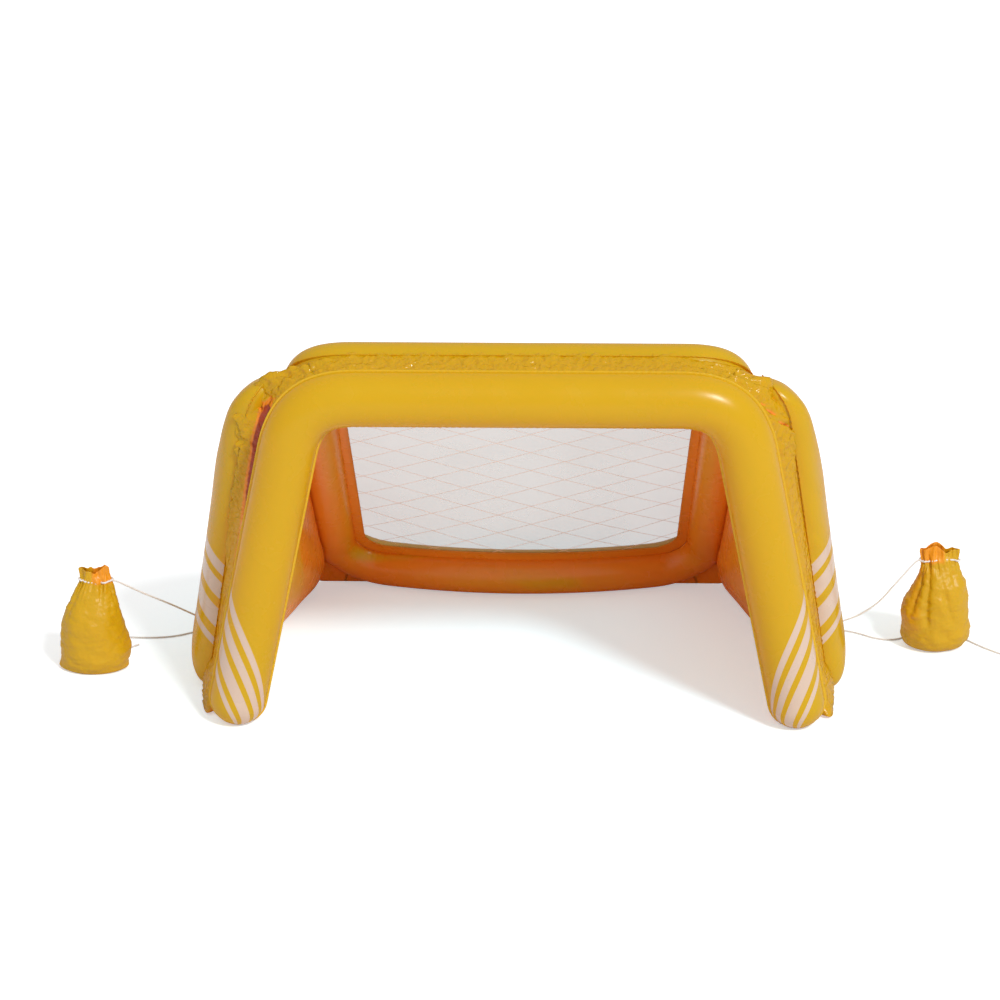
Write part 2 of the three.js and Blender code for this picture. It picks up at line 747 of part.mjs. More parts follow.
function tieTab(side) {
  const lift = CLEARANCE + tab.patchThickness / 2;
  const shares = [-0.5, 0, 0.5];
  const patch = shares.map((a) => shares.map((b) => {
    const skin = cushionSkin(side, tabY + a * tab.patchLength, tab.centreHeight + b * tab.patchHeight);
    return skin.point.addScaledVector(skin.normal, lift);
  }));
  const root = cushionSkin(side, tabY, tab.centreHeight).point.x;
  const half = tab.height / 2;
  const start = -half;
  const outline = new THREE.Shape();
  outline.moveTo(start, -half);
  outline.lineTo(tab.reach - half, -half);
  outline.absarc(tab.reach - half, 0, half, -Math.PI / 2, Math.PI / 2, false);
  outline.lineTo(start, half);
  outline.closePath();
  outline.holes.push(new THREE.Path().absarc(tab.reach - tab.holeInset, 0, holeRadius, 0, 2 * Math.PI, true));
  const plate = new THREE.ExtrudeGeometry(outline, {
    depth: tab.thickness, bevelEnabled: false, curveSegments: facets.cordSides,
  });
  plate.translate(0, 0, -tab.thickness / 2).rotateX(Math.PI / 2);
  if (side < 0) plate.rotateZ(Math.PI);
  plate.translate(root, tabY, tab.centreHeight);
  const made = solid(plate).add(solid(sheet(patch, tab.patchThickness, false)));
  return largest(made.subtract(cushionSolid(side, CLEARANCE)).subtract(floorBlock));
}

function tieEyelet(side) {
  const half = tab.thickness / 2 + CLEARANCE;
  const outer = eyelet.bore + eyelet.wall;
  const lip = outer + eyelet.flange;
  const made = revolve([
    [eyelet.bore, -half - eyelet.flangeThickness],
    [lip, -half - eyelet.flangeThickness],
    [lip, -half],
    [outer, -half],
    [outer, half],
    [lip, half],
    [lip, half + eyelet.flangeThickness],
    [eyelet.bore, half + eyelet.flangeThickness],
    [eyelet.bore, -half - eyelet.flangeThickness],
  ]);
  const place = new THREE.Matrix4()
    .makeTranslation(side * holeX, tabY, tab.centreHeight)
    .multiply(new THREE.Matrix4().makeRotationX(Math.PI / 2));
  return made.transform(place.toArray());
}

// A place measured outwards and backwards from the tab's hole, with any height after them
const fromHole = (side, [out, back, ...up]) => [side * (holeX + out), tabY + back, ...up];

// Anchor bags: [height share, width share, depth share] up the outside of a full bag
const bagShares = [
  [0, 0.78, 0.78], [0.02, 0.92, 0.9], [0.1, 1, 1], [0.28, 0.98, 0.98], [0.45, 0.88, 0.88],
  [0.6, 0.74, 0.7], [0.72, 0.58, 0.48], [0.8, 0.48, 0.34], [0.86, 0.44, 0.29],
  [0.92, 0.47, 0.3], [1, 0.42, 0.24],
];

function bagRing([x, y], height, halfWidth, halfDepth) {
  return Array.from({ length: facets.bagSides }, (_, j) => {
    const turn = (2 * Math.PI * j) / facets.bagSides;
    return new THREE.Vector3(x + halfWidth * Math.cos(turn), y + halfDepth * Math.sin(turn), height);
  });
}

function bagSizesAt(share) {
  const above = Math.max(1, bagShares.findIndex((row) => row[0] >= share));
  const [low, high] = [bagShares[above - 1], bagShares[above]];
  const part = (share - low[0]) / (high[0] - low[0]);
  return [1, 2].map((i) => THREE.MathUtils.lerp(low[i], high[i], part));
}

function bagSkin(centre) {
  const outer = bagShares.map(([h, w, d]) =>
    bagRing(centre, h * bag.height, w * bag.halfWidth, d * bag.halfDepth),
  );
  // The inside follows the outside up to the sand, and closes to a slit where the neck is drawn in
  const inner = bagShares.map(([h, w, d]) => {
    const drawn = THREE.MathUtils.smoothstep(h, bag.ballastShare, bag.neckShare);
    const depth = THREE.MathUtils.lerp(d * bag.halfDepth - bag.skin, bag.mouthGap / 2, drawn);
    const height = Math.max(h * bag.height, bag.skin);
    return bagRing(centre, h === 1 ? bag.height : height, w * bag.halfWidth - bag.skin, depth);
  });
  const bottom = new THREE.Vector3(...centre, 0);
  const insideBottom = new THREE.Vector3(...centre, bag.skin);
  return solid(loft([...outer, ...inner.reverse()], [bottom, insideBottom]));
}

function bagBallast(centre) {
  const inset = bag.skin + CLEARANCE;
  const rows = bagShares.filter((row) => row[0] <= bag.ballastShare);
  const rings = rows.map(([h, w, d], i) =>
    bagRing(
      centre, i ? h * bag.height : inset, w * bag.halfWidth - 2 * inset, d * bag.halfDepth - 2 * inset,
    ),
  );
  const top = bag.ballastShare * bag.height;
  return solid(loft(rings, [new THREE.Vector3(...centre, inset), new THREE.Vector3(...centre, top)]));
}

// Cords

function neckCord(centre) {
  const [w, d] = bagSizesAt(bag.neckShare);
  const off = cordRadius + CLEARANCE;
  const route = bagRing(centre, bag.neckShare * bag.height, w * bag.halfWidth + off, d * bag.halfDepth + off);
  return solid(loft(tubeRings(route, cordRadius, facets.cordSides, new THREE.Vector3(0, 0, 1), true)));
}

function anchorCord(points) {
  const route = new THREE.CatmullRomCurve3(points.map((p) => new THREE.Vector3(...p)));
  const section = new THREE.Shape();
  section.absarc(0, 0, cordRadius, 0, 2 * Math.PI, false);
  return solid(
    new THREE.ExtrudeGeometry(section, {
      extrudePath: route, steps: facets.cordSteps, curveSegments: facets.cordSides / 2,
    }),
  );
}

// Materials
const finish = (color, roughness) => new THREE.MeshStandardMaterial({ color, roughness, metalness: 0 });
const vinyl = () => finish(0xd9a81f, 0.28);
const sheetVinyl = () => finish(0xd6a221, 0.35);
const film = () => finish(0xe4e2de, 0.2);
const clearVinyl = () => finish(0xb9c6dc, 0.2);
const cordWhite = () => finish(0xe9e6e1, 0.8);
const sand = () => finish(0xb79c6d, 0.95);

// Assembly
const goal = new THREE.Group();

function piece(name, made, material, parent = goal) {
  const mesh = new THREE.Mesh(geometryOf(made), material);
  mesh.name = name;
  parent.add(mesh);
  return mesh;
}

const places = valvePlaces();
const archCut = archSolid(CLEARANCE);
const ringCut = ringSolid(CLEARANCE);
const cushionCuts = Object.values(sides).map((side) => cushionSolid(side, CLEARANCE));
const cuts = [archCut, ringCut, ...cushionCuts, floorBlock];
const trimmed = (made) => largest(cuts.reduce((left, cut) => left.subtract(cut), made)).simplify(SLIVER);

piece("front_arch", archSolid(0).subtract(floorBlock).subtract(pocketAt(places.arch)), vinyl());
piece("rear_ring", ringSolid(0).subtract(floorBlock).subtract(pocketAt(places.ring)), vinyl());
// The cushions give way where they press on the ring
for (const [name, side] of Object.entries(sides)) {
  const pressed = cushionSolid(side, 0).subtract(floorBlock).subtract(ringCut);
  piece("side_cushion_" + name, largest(pressed.subtract(pocketAt(places[name]))), vinyl());
}

const strip = solid(sheet(webStations(), web.thickness, false));
const topHalfLength = shoulderHalfSpan - web.topInset;
const slab = (half) => boxBetween([-half, -DEPTH, 0], [half, DEPTH, 2 * HEIGHT]);
piece("top_web", trimmed(strip.intersect(slab(topHalfLength))), sheetVinyl());
// The right side web mirrors the left one
const leftEnd = boxBetween([-WIDTH, -DEPTH, 0], [-topHalfLength - CLEARANCE, DEPTH, 2 * HEIGHT]);
const leftWeb = trimmed(strip.intersect(leftEnd));
for (const [name, side] of Object.entries(sides)) {
  piece("side_web_" + name, side < 0 ? leftWeb : leftWeb.mirror([1, 0, 0]), sheetVinyl());
  const flat = solid(sheet(gussetRows(side), gusset.thickness, false));
  piece("corner_gusset_" + name, trimmed(flat), sheetVinyl());
}

piece("net_border", trimmed(solid(sheet(borderRows(), net.borderThickness, true))), sheetVinyl());
piece("net_film", trimmed(solid(sheet(filmRows(), net.filmThickness, false))), film());

for (const [name, place] of Object.entries(places)) {
  const stand = new THREE.Group();
  stand.applyMatrix4(frameAt(place));
  goal.add(stand);
  piece("valve_seat_" + name, valveSeat(place.sink), clearVinyl(), stand);
  piece("valve_stem_" + name, valveStem(), clearVinyl(), stand);
  const cap = piece("valve_cap_" + name, valveCap(), clearVinyl(), stand);
  cap.position.set(pivotReach, 0, rimTop);
}

for (const [name, anchor] of Object.entries(anchors)) {
  piece("tie_tab_" + name, tieTab(anchor.side), sheetVinyl());
  piece("tie_eyelet_" + name, tieEyelet(anchor.side), clearVinyl());
  const bagCentre = fromHole(anchor.side, anchor.bagCentre);
  const cord = anchor.cord.map((point) => fromHole(anchor.side, point));
  piece("anchor_bag_" + name, bagSkin(bagCentre), vinyl());
  piece("bag_ballast_" + name, bagBallast(bagCentre), sand());
  piece("neck_cord_" + name, neckCord(bagCentre), cordWhite());
  piece("anchor_cord_" + name, anchorCord(cord), cordWhite());
}

export default goal;
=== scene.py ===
import json
import math
from bisect import bisect_right
from collections import namedtuple
from itertools import accumulate

import bmesh
import bpy
from mathutils import Matrix, Vector, noise
from mathutils.bvhtree import BVHTree

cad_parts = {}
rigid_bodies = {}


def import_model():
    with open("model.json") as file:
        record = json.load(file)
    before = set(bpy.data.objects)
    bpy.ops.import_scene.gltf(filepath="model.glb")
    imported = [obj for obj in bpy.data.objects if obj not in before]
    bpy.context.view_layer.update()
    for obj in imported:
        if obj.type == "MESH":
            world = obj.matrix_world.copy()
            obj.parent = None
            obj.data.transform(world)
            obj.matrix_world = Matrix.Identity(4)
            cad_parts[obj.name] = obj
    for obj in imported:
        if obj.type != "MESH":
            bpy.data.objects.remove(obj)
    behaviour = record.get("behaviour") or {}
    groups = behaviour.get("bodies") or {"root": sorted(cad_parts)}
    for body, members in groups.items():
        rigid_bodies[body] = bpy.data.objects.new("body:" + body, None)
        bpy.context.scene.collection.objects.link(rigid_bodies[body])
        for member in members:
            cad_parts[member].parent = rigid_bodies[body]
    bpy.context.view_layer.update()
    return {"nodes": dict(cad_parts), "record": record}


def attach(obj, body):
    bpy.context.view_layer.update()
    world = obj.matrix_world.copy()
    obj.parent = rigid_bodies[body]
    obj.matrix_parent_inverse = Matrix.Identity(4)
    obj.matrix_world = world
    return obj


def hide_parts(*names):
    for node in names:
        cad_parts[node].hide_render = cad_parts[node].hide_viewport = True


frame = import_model()
scene = bpy.context.scene

# Front arch: an air tube of glossy yellow vinyl, bent into an upside-down U on two splayed feet.
# A front and a back strip are welded along both edges, so a thin flange runs round it, and slanted
# pale stripes are printed on each foot.

ARCH_Y = -0.372
ARCH_RADIUS = 0.0575
ARCH_FOOT = (0.582, 0.0545)
ARCH_SHOULDER = (0.445, 0.719)
ARCH_BEND = 0.118
ROUND = 0.55  # how fully a bend turns, near a circle's arc
FLOOR_LIFT = 0.0006
DOME_STEPS = 12
VINYL = (0.77, 0.585, 0.008)
# Painted shade and glow: a deep orange red painted where vinyl faces vinyl, for the light bounced between and
# passed through the skins
PAINTED_SHADE_GLOW_VINYL = (0.95, 0.3, 0.016)
# Painted shade: the dark red of the deepest folds and crevices
PAINTED_CREVICE_SHADE_VINYL = (0.42, 0.05, 0.008)
THROUGH_VINYL = ((0.95, 0.44, 0.01), (1.0, 0.21, 0.01))
PRINT = (0.69, 0.535, 0.42)
KEY_LIGHT = Vector((0.57, -0.85, 1.0)).normalized()


def ramp(value, low, high):
    return max(0.0, min(1.0, (value - low) / (high - low)))


def bell(value, middle, width):
    return math.exp(-(((value - middle) / width) ** 2))


def rounded_line(corners, cuts, spacing, closed=False, fullness=None):
    line = []
    count = len(corners)
    for i, corner in enumerate(corners):
        if not closed and i in (0, count - 1):
            bend = [corner]
        else:
            full = fullness[i] if fullness else ROUND
            back = (corners[i - 1] - corner).normalized() * cuts[i]
            ahead = (corners[(i + 1) % count] - corner).normalized() * cuts[i]
            start, end = corner + back, corner + ahead
            a, b = corner + back * (1 - full), corner + ahead * (1 - full)
            steps = max(4, round(1.6 * cuts[i] / spacing))
            bend = [
                start * (1 - t) ** 3 + a * 3 * t * (1 - t) ** 2 + b * 3 * t * t * (1 - t) + end * t ** 3
                for t in (k / steps for k in range(steps + 1))
            ]
        if line:
            line += between(line[-1], bend[0], spacing)
        line += bend
    if closed:
        line += between(line[-1], line[0], spacing)
    return line


def marks(line):
    """How far along the line each of its points is."""
    return [0.0, *accumulate((b - a).length for a, b in zip(line, line[1:]))]


def between(start, end, spacing):
    gap = end - start
    steps = max(1, round(gap.length / spacing))
    return [start + gap * (k / steps) for k in range(1, steps)]


def tube(mesh, line, radii, across, sides, closed=False):
    """Circles along a line, bridged. Returns each vertex with its centre, its length along and its turn."""
    loops, rows, length = [], [], 0.0
    for i, centre in enumerate(line):
        before = line[i - 1] if closed or i else centre
        after = line[(i + 1) % len(line)] if closed or i + 1 < len(line) else centre
        ahead = (after - before).normalized()
        u = (across - across.dot(ahead) * ahead).normalized()
        w = ahead.cross(u)
        place = Matrix((u, w, ahead)).transposed().to_4x4()
        place.translation = centre
        length += (centre - before).length if i else 0.0
        ring = bmesh.ops.create_circle(mesh, segments=sides, radius=radii[i], matrix=place)["verts"]
        for v in ring:
            arm = v.co - centre
            rows.append((v, centre, length, math.atan2(arm.dot(w), arm.dot(u))))
        loops.append(edges_of(ring))
    for a, b in zip(loops, loops[1:] + (loops[:1] if closed else [])):
        bmesh.ops.bridge_loops(mesh, edges=a + b)
    if not closed:
        for ends in (loops[0], loops[-1]):
            bmesh.ops.contextual_create(mesh, geom=ends)
    outward(mesh)
    return rows


def domed(line, radius):
    """Lengthens a line by a round end at each side, and gives each point its radius."""
    ends = []
    for centre, inner in ((line[0], line[1]), (line[-1], line[-2])):
        out = (centre - inner).normalized()
        turns = [math.pi / 2 * k / DOME_STEPS for k in range(1, DOME_STEPS)] + [1.565]
        ends.append([(centre + out * radius * math.sin(t), radius * math.cos(t)) for t in turns])
    pairs = ends[0][::-1] + [(p, radius) for p in line] + ends[1]
    return [p for p, r in pairs], [r for p, r in pairs]


def outward(mesh):
    bmesh.ops.recalc_face_normals(mesh, faces=mesh.faces)
    return mesh


def edges_of(verts):
    return list({e for v in verts for e in v.link_edges})


def on_floor(mesh):
    for v in mesh.verts:
        v.co.z = max(v.co.z, FLOOR_LIFT)


def placed(name, data):
    made = bpy.data.objects.new(name, data)
    scene.collection.objects.link(made)
    return made


def keep(made, name, values):
    """Keeps one number for each vertex, for the materials to read."""
    made.data.attributes.new(name, "FLOAT", "POINT").data.foreach_set("value", values)


def piece(name, mesh, material, body="goal"):
    data = bpy.data.meshes.new(name)
    closed = all(len(e.link_faces) == 2 for e in mesh.edges)
    if closed and mesh.calc_volume(signed=True) < 0:
        bmesh.ops.reverse_faces(mesh, faces=mesh.faces)
    mesh.to_mesh(data)
    mesh.free()
    for polygon in data.polygons:
        polygon.use_smooth = True
    made = placed(name, data)
    data.materials.append(material)
    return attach(made, body)


class Nodes:
    """Short ways to add the nodes of one material, or of the world."""

    def __init__(self, holder):
        holder.use_nodes = True
        self.material = holder
        self.tree = holder.node_tree
        self.shader = self.tree.nodes.get("Principled BSDF") or self.tree.nodes["Background"]

    def link(self, source, socket):
        self.tree.links.new(source, self.shader.inputs[socket])

    def surface(self, made):
        self.tree.links.new(made.outputs[0], self.tree.nodes["Material Output"].inputs["Surface"])

    def put(self, socket, value):
        """Links an output to the socket, or sets the socket to a number or a colour."""
        if isinstance(value, bpy.types.NodeSocket):
            self.tree.links.new(value, socket)
        else:
            socket.default_value = (*value, 1) if isinstance(value, tuple) else value

    def add(self, kind, inputs=(), **options):
        made = self.tree.nodes.new("ShaderNode" + kind)
        for key, value in options.items():
            setattr(made, key, value)
        for socket, value in inputs:
            self.put(made.inputs[socket], value)
        return made

    def mix(self, factor, a, b):
        return self.add("Mix", [(0, factor), (6, a), (7, b)], data_type="RGBA").outputs[2]

    def math(self, operation, *terms):
        return self.add("Math", enumerate(terms), operation=operation).outputs[0]

    def place(self):
        return self.add("TexCoord").outputs["Object"]

    def axes(self):
        """Distance from the middle plane, then Y and Z, so that one rule serves both sides."""
        parts = self.add("SeparateXYZ", [("Vector", self.place())]).outputs
        return self.math("ABSOLUTE", parts["X"]), parts["Y"], parts["Z"]

    def sum(self, *scaled):
        """A weighted sum. Each term is a socket and its factor, and a plain number is added."""
        total = 0.0
        for term in scaled:
            if isinstance(term, (int, float)):
                total = self.math("ADD", total, term)
            else:
                total = self.math("MULTIPLY_ADD", term[0], term[1], total)
        return total

    def bands(self, value, ranges):
        """1 where the value lies inside one of the ranges, and 0 elsewhere."""
        total = 0.0
        for low, high in ranges:
            above, below = self.math("GREATER_THAN", value, low), self.math("LESS_THAN", value, high)
            total = self.math("MULTIPLY_ADD", above, below, total)
        return total

    def bump(self, height, strength, distance, normal=None):
        inputs = [("Strength", strength), ("Distance", distance), ("Height", height)]
        return self.add("Bump", inputs + ([("Normal", normal)] if normal else [])).outputs["Normal"]

    def texture(self, kind, scale, detail=2.0, output="Fac", **options):
        inputs = [("Scale", scale), ("Vector", self.place())] + ([("Detail", detail)] if kind == "Noise" else [])
        return self.add("Tex" + kind, inputs, **options).outputs[output]

    def ranged(self, value, start, end, low=0.0, high=1.0, kind="SMOOTHSTEP"):
        inputs = [("Value", value), ("From Min", start), ("From Max", end), ("To Min", low), ("To Max", high)]
        return self.add("MapRange", inputs, interpolation_type=kind).outputs["Result"]


def vinyl(name, colour, roughness=0.25, crumple=0.0, printed=None, through=0.4):
    """Soft glossy vinyl: a colour that drifts a little, smudged gloss, fine waviness and creases.

    Where other vinyl stands all round, the colour is painted orange red for the light that has been through the
    skins, and the deepest folds get a painted dark red shade.
    """
    n = Nodes(bpy.data.materials.new(name))
    deeper = tuple(c * k for c, k in zip(colour, (0.96, 0.9, 0.8)))
    tone = n.mix(n.texture("Noise", 3.1, 3.0), colour, deeper)
    # Painted shade and glow read from the mesh: deep orange red where vinyl stands all round, dark red in the
    # deepest folds; painted places let less light through
    share = n.add("Attribute", attribute_name="sheltered").outputs["Fac"]
    painted_shade_glow, painted_crevice_shade = n.ranged(share, 0.14, 0.58), n.ranged(share, 0.74, 1.15)
    tone = n.mix(painted_crevice_shade, n.mix(painted_shade_glow, tone, PAINTED_SHADE_GLOW_VINYL), PAINTED_CREVICE_SHADE_VINYL)
    passing = n.sum((painted_shade_glow, -0.65 * through), through)
    if printed:
        mask = printed(n)
        ink = n.mix(n.texture("Noise", 260.0, 3.0), PRINT, tuple(c * 0.93 for c in PRINT))
        tone = n.mix(mask, tone, ink)
        passing = n.math("MULTIPLY", passing, n.sum((mask, -0.8), 1.0))
    n.link(tone, "Base Color")
    smudges = n.texture("Noise", 14.0, 6.0)
    n.link(n.ranged(smudges, 0.3, 0.7, roughness - 0.05, roughness + 0.07, "LINEAR"), "Roughness")
    normal = n.bump(n.texture("Noise", 19.0), 0.22, 0.002)
    normal = n.bump(n.texture("Noise", 800.0, 1.0), 0.05, 0.0002, normal)
    if crumple:
        for scale, depth in ((34.0, 0.004), (85.0, 0.0016)):
            cell = n.texture("Voronoi", scale, output="Distance", feature="DISTANCE_TO_EDGE")
            normal = n.bump(n.ranged(cell, 0.0, 0.3, 1.0, 0.0), crumple, depth, normal)
    n.link(normal, "Normal")
    n.shader.inputs["IOR"].default_value = 1.5
    # Thin vinyl lets part of the light through, and only its red and orange
    hue = n.mix(painted_shade_glow, *THROUGH_VINYL)
    glow = n.add("BsdfTranslucent", [("Color", hue), ("Normal", normal)])
    n.surface(n.add("MixShader", [(0, passing), (1, n.shader.outputs[0]), (2, glow.outputs[0])]))
    return n.material


def foot_stripes(n):
    """Stripes that wind round each foot, from the outer weld down to the inner front."""
    x, y, z = n.axes()
    lean, rise = 0.20192, 0.9794  # the leg's direction
    foot_x, foot_z = ARCH_FOOT
    up_leg = n.sum((x, -lean), (z, rise), foot_x * lean - foot_z * rise)
    out = n.sum((x, rise), (z, lean), -foot_x * rise - foot_z * lean)
    turn = n.math("ARCTAN2", n.sum((y, -1.0), ARCH_Y), out)
    flat = n.sum((up_leg, 1.0), (turn, 0.03552), (n.math("POWER", turn, 2.0), 0.01773), -0.02)
    bands = n.bands(flat, [(0.203, 0.229), (0.147, 0.1785), (0.082, 0.124), (0.042, 0.06)])
    return n.math("MULTIPLY", bands, n.math("GREATER_THAN", turn, -0.2))


arch_corners = [
    Vector((side * x, ARCH_Y, z))
    for side, (x, z) in ((-1, ARCH_FOOT), (-1, ARCH_SHOULDER), (1, ARCH_SHOULDER), (1, ARCH_FOOT))
]
arch_line = rounded_line(arch_corners, [0, ARCH_BEND, ARCH_BEND, 0], 0.008, fullness=[0.72] * 4)
arch_path, arch_radii = domed(arch_line, ARCH_RADIUS)
arch_mesh = bmesh.new()
arch_middle = Vector((0, ARCH_Y, 0.35))
for v, centre, along, turn in tube(arch_mesh, arch_path, arch_radii, Vector((0, 1, 0)), 96):
    # The weld draws the skin into small puckers where the tube bends and round its feet
    seam = math.exp(-abs(v.co.y - ARCH_Y) / 0.011)
    inside = max(0.0, -(v.co - centre).normalized().dot((centre - arch_middle).normalized()))
    bend = max(0.0, 1 - abs(Vector((abs(centre.x) - 0.42, centre.z - 0.68)).length / 0.11))
    foot = max(0.0, 1 - centre.z / 0.09)
    depth = 0.0022 * seam * (bend * inside + 0.9 * foot)
    round_arch = (v.co - arch_middle).xz.angle_signed(Vector((0, 1)))
    v.co += (v.co - centre).normalized() * depth * math.sin(round_arch * 260)
on_floor(arch_mesh)
arch = piece("arch_tube", arch_mesh, vinyl("arch_vinyl", VINYL, printed=foot_stripes))
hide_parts("front_arch")


WELD_SPACING = 0.004
WELD_REACH = 0.0042
WELD_RIPPLE = 0.0008


def weld(name, line, plane):
    """The flat flange of a weld: a thin strip along a closed line, rippled where it was drawn in."""
    points = []
    for a, b in zip(line, line[1:] + line[:1]):
        points += [a] + between(a, b, WELD_SPACING)
    mesh = bmesh.new()
    for v, centre, along, turn in tube(mesh, points, [WELD_REACH] * len(points), plane, 10, closed=True):
        arm = v.co - centre
        wave = WELD_RIPPLE * (math.sin(along * 480) + 0.6 * math.sin(along * 1130 + 2)) * (1 - math.exp(-along))
        v.co = centre + arm - plane * arm.dot(plane) * 0.86 + plane * wave
    on_floor(mesh)
    made = piece(name, mesh, weld_vinyl)
    return made


weld_vinyl = vinyl("weld_vinyl", (0.9, 0.72, 0.03), roughness=0.26)
arch_sides = []
for sign in (1, -1):
    row = []
    for i, centre in enumerate(arch_path):
        ahead = (arch_path[min(i + 1, len(arch_path) - 1)] - arch_path[max(i - 1, 0)]).normalized()
        row.append(centre + ahead.cross(Vector((0, 1, 0))) * sign * arch_radii[i])
    arch_sides.append(row)
weld("arch_weld", arch_sides[0] + arch_sides[1][::-1], Vector((0, 1, 0)))

# Rear ring: a closed air tube that frames the net and slopes down from behind the arch to the
# floor. Its bottom bar is pulled forward in the middle, as the net and the floor sheet hold it.

RING_RADIUS = 0.05
RING_TOP = Vector((0, -0.254, 0.746))
RING_BOTTOM = Vector((0, 0.4105, 0.0495))
RING_HALF = (0.439, 0.419)
RING_BOW = 0.084
DOWN_SLOPE = (RING_BOTTOM - RING_TOP).normalized()
SLOPE_LENGTH = (RING_BOTTOM - RING_TOP).length
NET_NORMAL = Vector((1, 0, 0)).cross(DOWN_SLOPE)


def on_slope(u, v, lift=0.0):
    point = RING_TOP + DOWN_SLOPE * v + NET_NORMAL * lift
    point.x = u
    point.y -= RING_BOW * max(0.0, 1 - (u / RING_HALF[1]) ** 2) * (v / SLOPE_LENGTH) ** 2
    return point


def ring_half(v):
    return RING_HALF[0] + (RING_HALF[1] - RING_HALF[0]) * v / SLOPE_LENGTH


def ring_loop(inset, spacing, bottom_rise=0.0):
    top, bottom = RING_HALF[0] - inset, RING_HALF[1] - inset
    low = SLOPE_LENGTH - inset - bottom_rise
    corners = [Vector(c) for c in ((-top, inset, 0), (top, inset, 0), (bottom, low, 0), (-bottom, low, 0))]
    cuts = [cut - inset for cut in (0.1, 0.1, 0.122, 0.122)]
    return rounded_line(corners, cuts, spacing, closed=True, fullness=[0.7, 0.7, ROUND, ROUND])


def ring_path(inset, spacing, bottom_rise=0.0):
    return [on_slope(p.x, p.y) for p in ring_loop(inset, spacing, bottom_rise)]


ring_line = ring_path(0.0, 0.008)
ring_mesh = bmesh.new()
ring_middle = RING_TOP.lerp(RING_BOTTOM, 0.5)
ring_radii = [RING_RADIUS] * len(ring_line)
for v, centre, along, turn in tube(ring_mesh, ring_line, ring_radii, NET_NORMAL, 80, closed=True):
    arm = (v.co - centre).normalized()
    seam = math.exp(-abs(arm.dot(NET_NORMAL)) * RING_RADIUS / 0.012)
    inside = max(0.0, -arm.dot((centre - ring_middle).normalized()))
    v.co += arm * 0.0016 * seam * inside * math.sin(along * 420 + 2 * math.sin(along * 37))
on_floor(ring_mesh)
ring = piece("ring_tube", ring_mesh, vinyl("ring_vinyl", VINYL))
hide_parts("rear_ring")
weld("ring_weld", ring_path(-RING_RADIUS, 0.012), NET_NORMAL)

# Side cushions: two big flat triangles of vinyl welded round their edge and blown up like
# pillows. They hold the arch and the ring apart, lean inwards, and press against the ring. Slanted
# pale stripes are printed low on the outside.

TOE_Y, HEEL_Y, TOP_Y = -0.2145, 0.4394, -0.3025
CUSHION_TOP = 0.721
CUSHION_HALF = 0.096
CUSHION_REACH = 0.21
CUSHION_CENTRE = Vector((0, -0.0445, 0.2451))
EASINGS = 26

cushion_outline = rounded_line(
    [Vector((0, TOE_Y, -0.008)), Vector((0, HEEL_Y, -0.008)),
     Vector((0, TOP_Y + 0.098, CUSHION_TOP)), Vector((0, TOP_Y, CUSHION_TOP))],
    [0.056, 0.128, 0.042, 0.038], 0.02, closed=True,
)
cushion_edges = list(zip(cushion_outline, cushion_outline[1:] + cushion_outline[:1]))


def cushion_middle(y, z):
    along = (y - TOE_Y) / (HEEL_Y - TOE_Y)
    over = max(0.0, (z - CUSHION_TOP + 0.075) / 0.075)
    return 0.6614 - 0.1854 * along - 0.141 * z / CUSHION_TOP - 0.024 * over * over


def seam_distance(y, z):
    at = Vector((0, y, z))
    best = 9.0
    for a, b in cushion_edges:
        edge = b - a
        share = ramp((at - a).dot(edge), 0.0, max(edge.length_squared, 1e-12))
        best = min(best, (a + edge * share - at).length)
    return best


def cushion_fill(distance):
    short = 1 - min(1.0, distance / CUSHION_REACH)
    return CUSHION_HALF * math.sqrt(max(0.0, 1 - short ** 1.9))


def outline_reach(direction):
    best = 0.0
    for a, b in cushion_edges:
        start, edge = a - CUSHION_CENTRE, b - a
        cross = edge.y * direction.z - edge.z * direction.y
        if abs(cross) > 1e-9:
            share = (start.z * direction.y - start.y * direction.z) / cross
            if 0 <= share <= 1:
                best = max(best, (start + edge * share).dot(direction))
    return best


def cushion(side):
    mesh = bmesh.new()
    turn = Matrix.Rotation(math.pi / 2, 4, "Y")
    bmesh.ops.create_uvsphere(mesh, u_segments=180, v_segments=72, radius=1.0, matrix=turn)
    reaches, flat, bulges = {}, {}, {}
    for v in mesh.verts:
        out = Vector((0, v.co.y, v.co.z))
        share = min(1.0, out.length)
        at = CUSHION_CENTRE.copy()
        if share > 1e-5:
            direction = out.normalized()
            key = (round(direction.y, 4), round(direction.z, 4))
            if key not in reaches:
                reaches[key] = outline_reach(direction)
            at += direction * reaches[key] * share
        flat[v] = (at, seam_distance(at.y, at.z), v.co.x)
        bulges[v] = cushion_fill(flat[v][1]) if abs(v.co.x) > 1e-4 else 0.0
    # Air rounds off the ridges that the distance to the edge leaves
    for _ in range(EASINGS):
        eased = {}
        for v in mesh.verts:
            near = [bulges[e.other_vert(v)] for e in v.link_edges]
            ease = min(1.0, flat[v][1] / 0.05)
            eased[v] = bulges[v] + ease * 0.7 * (sum(near) / len(near) - bulges[v])
        bulges = eased
    for v in mesh.verts:
        at, near, face = flat[v]
        along = math.atan2(at.z - 0.24, at.y + 0.04)
        pucker = math.exp(-near / 0.013) * math.sin(along * 170 + 3 * math.sin(along * 11))
        broad = math.exp(-near / 0.035) * noise.noise(at * 24 + Vector((side, 0, 0)))
        out = (bulges[v] + 0.0022 * pucker + 0.003 * broad) * min(1.0, abs(face) * 40)
        x = cushion_middle(at.y, at.z) + out * (1 if face > 0 else -1)
        v.co = Vector((side * x, at.y, at.z))
    for v in mesh.verts:
        nearest = min(ring_line, key=lambda p: (p - v.co).length_squared)
        away = v.co - nearest
        if away.length < RING_RADIUS + 0.001:
            v.co = nearest + away.normalized() * (RING_RADIUS + 0.001)
    on_floor(mesh)
    return outward(mesh)


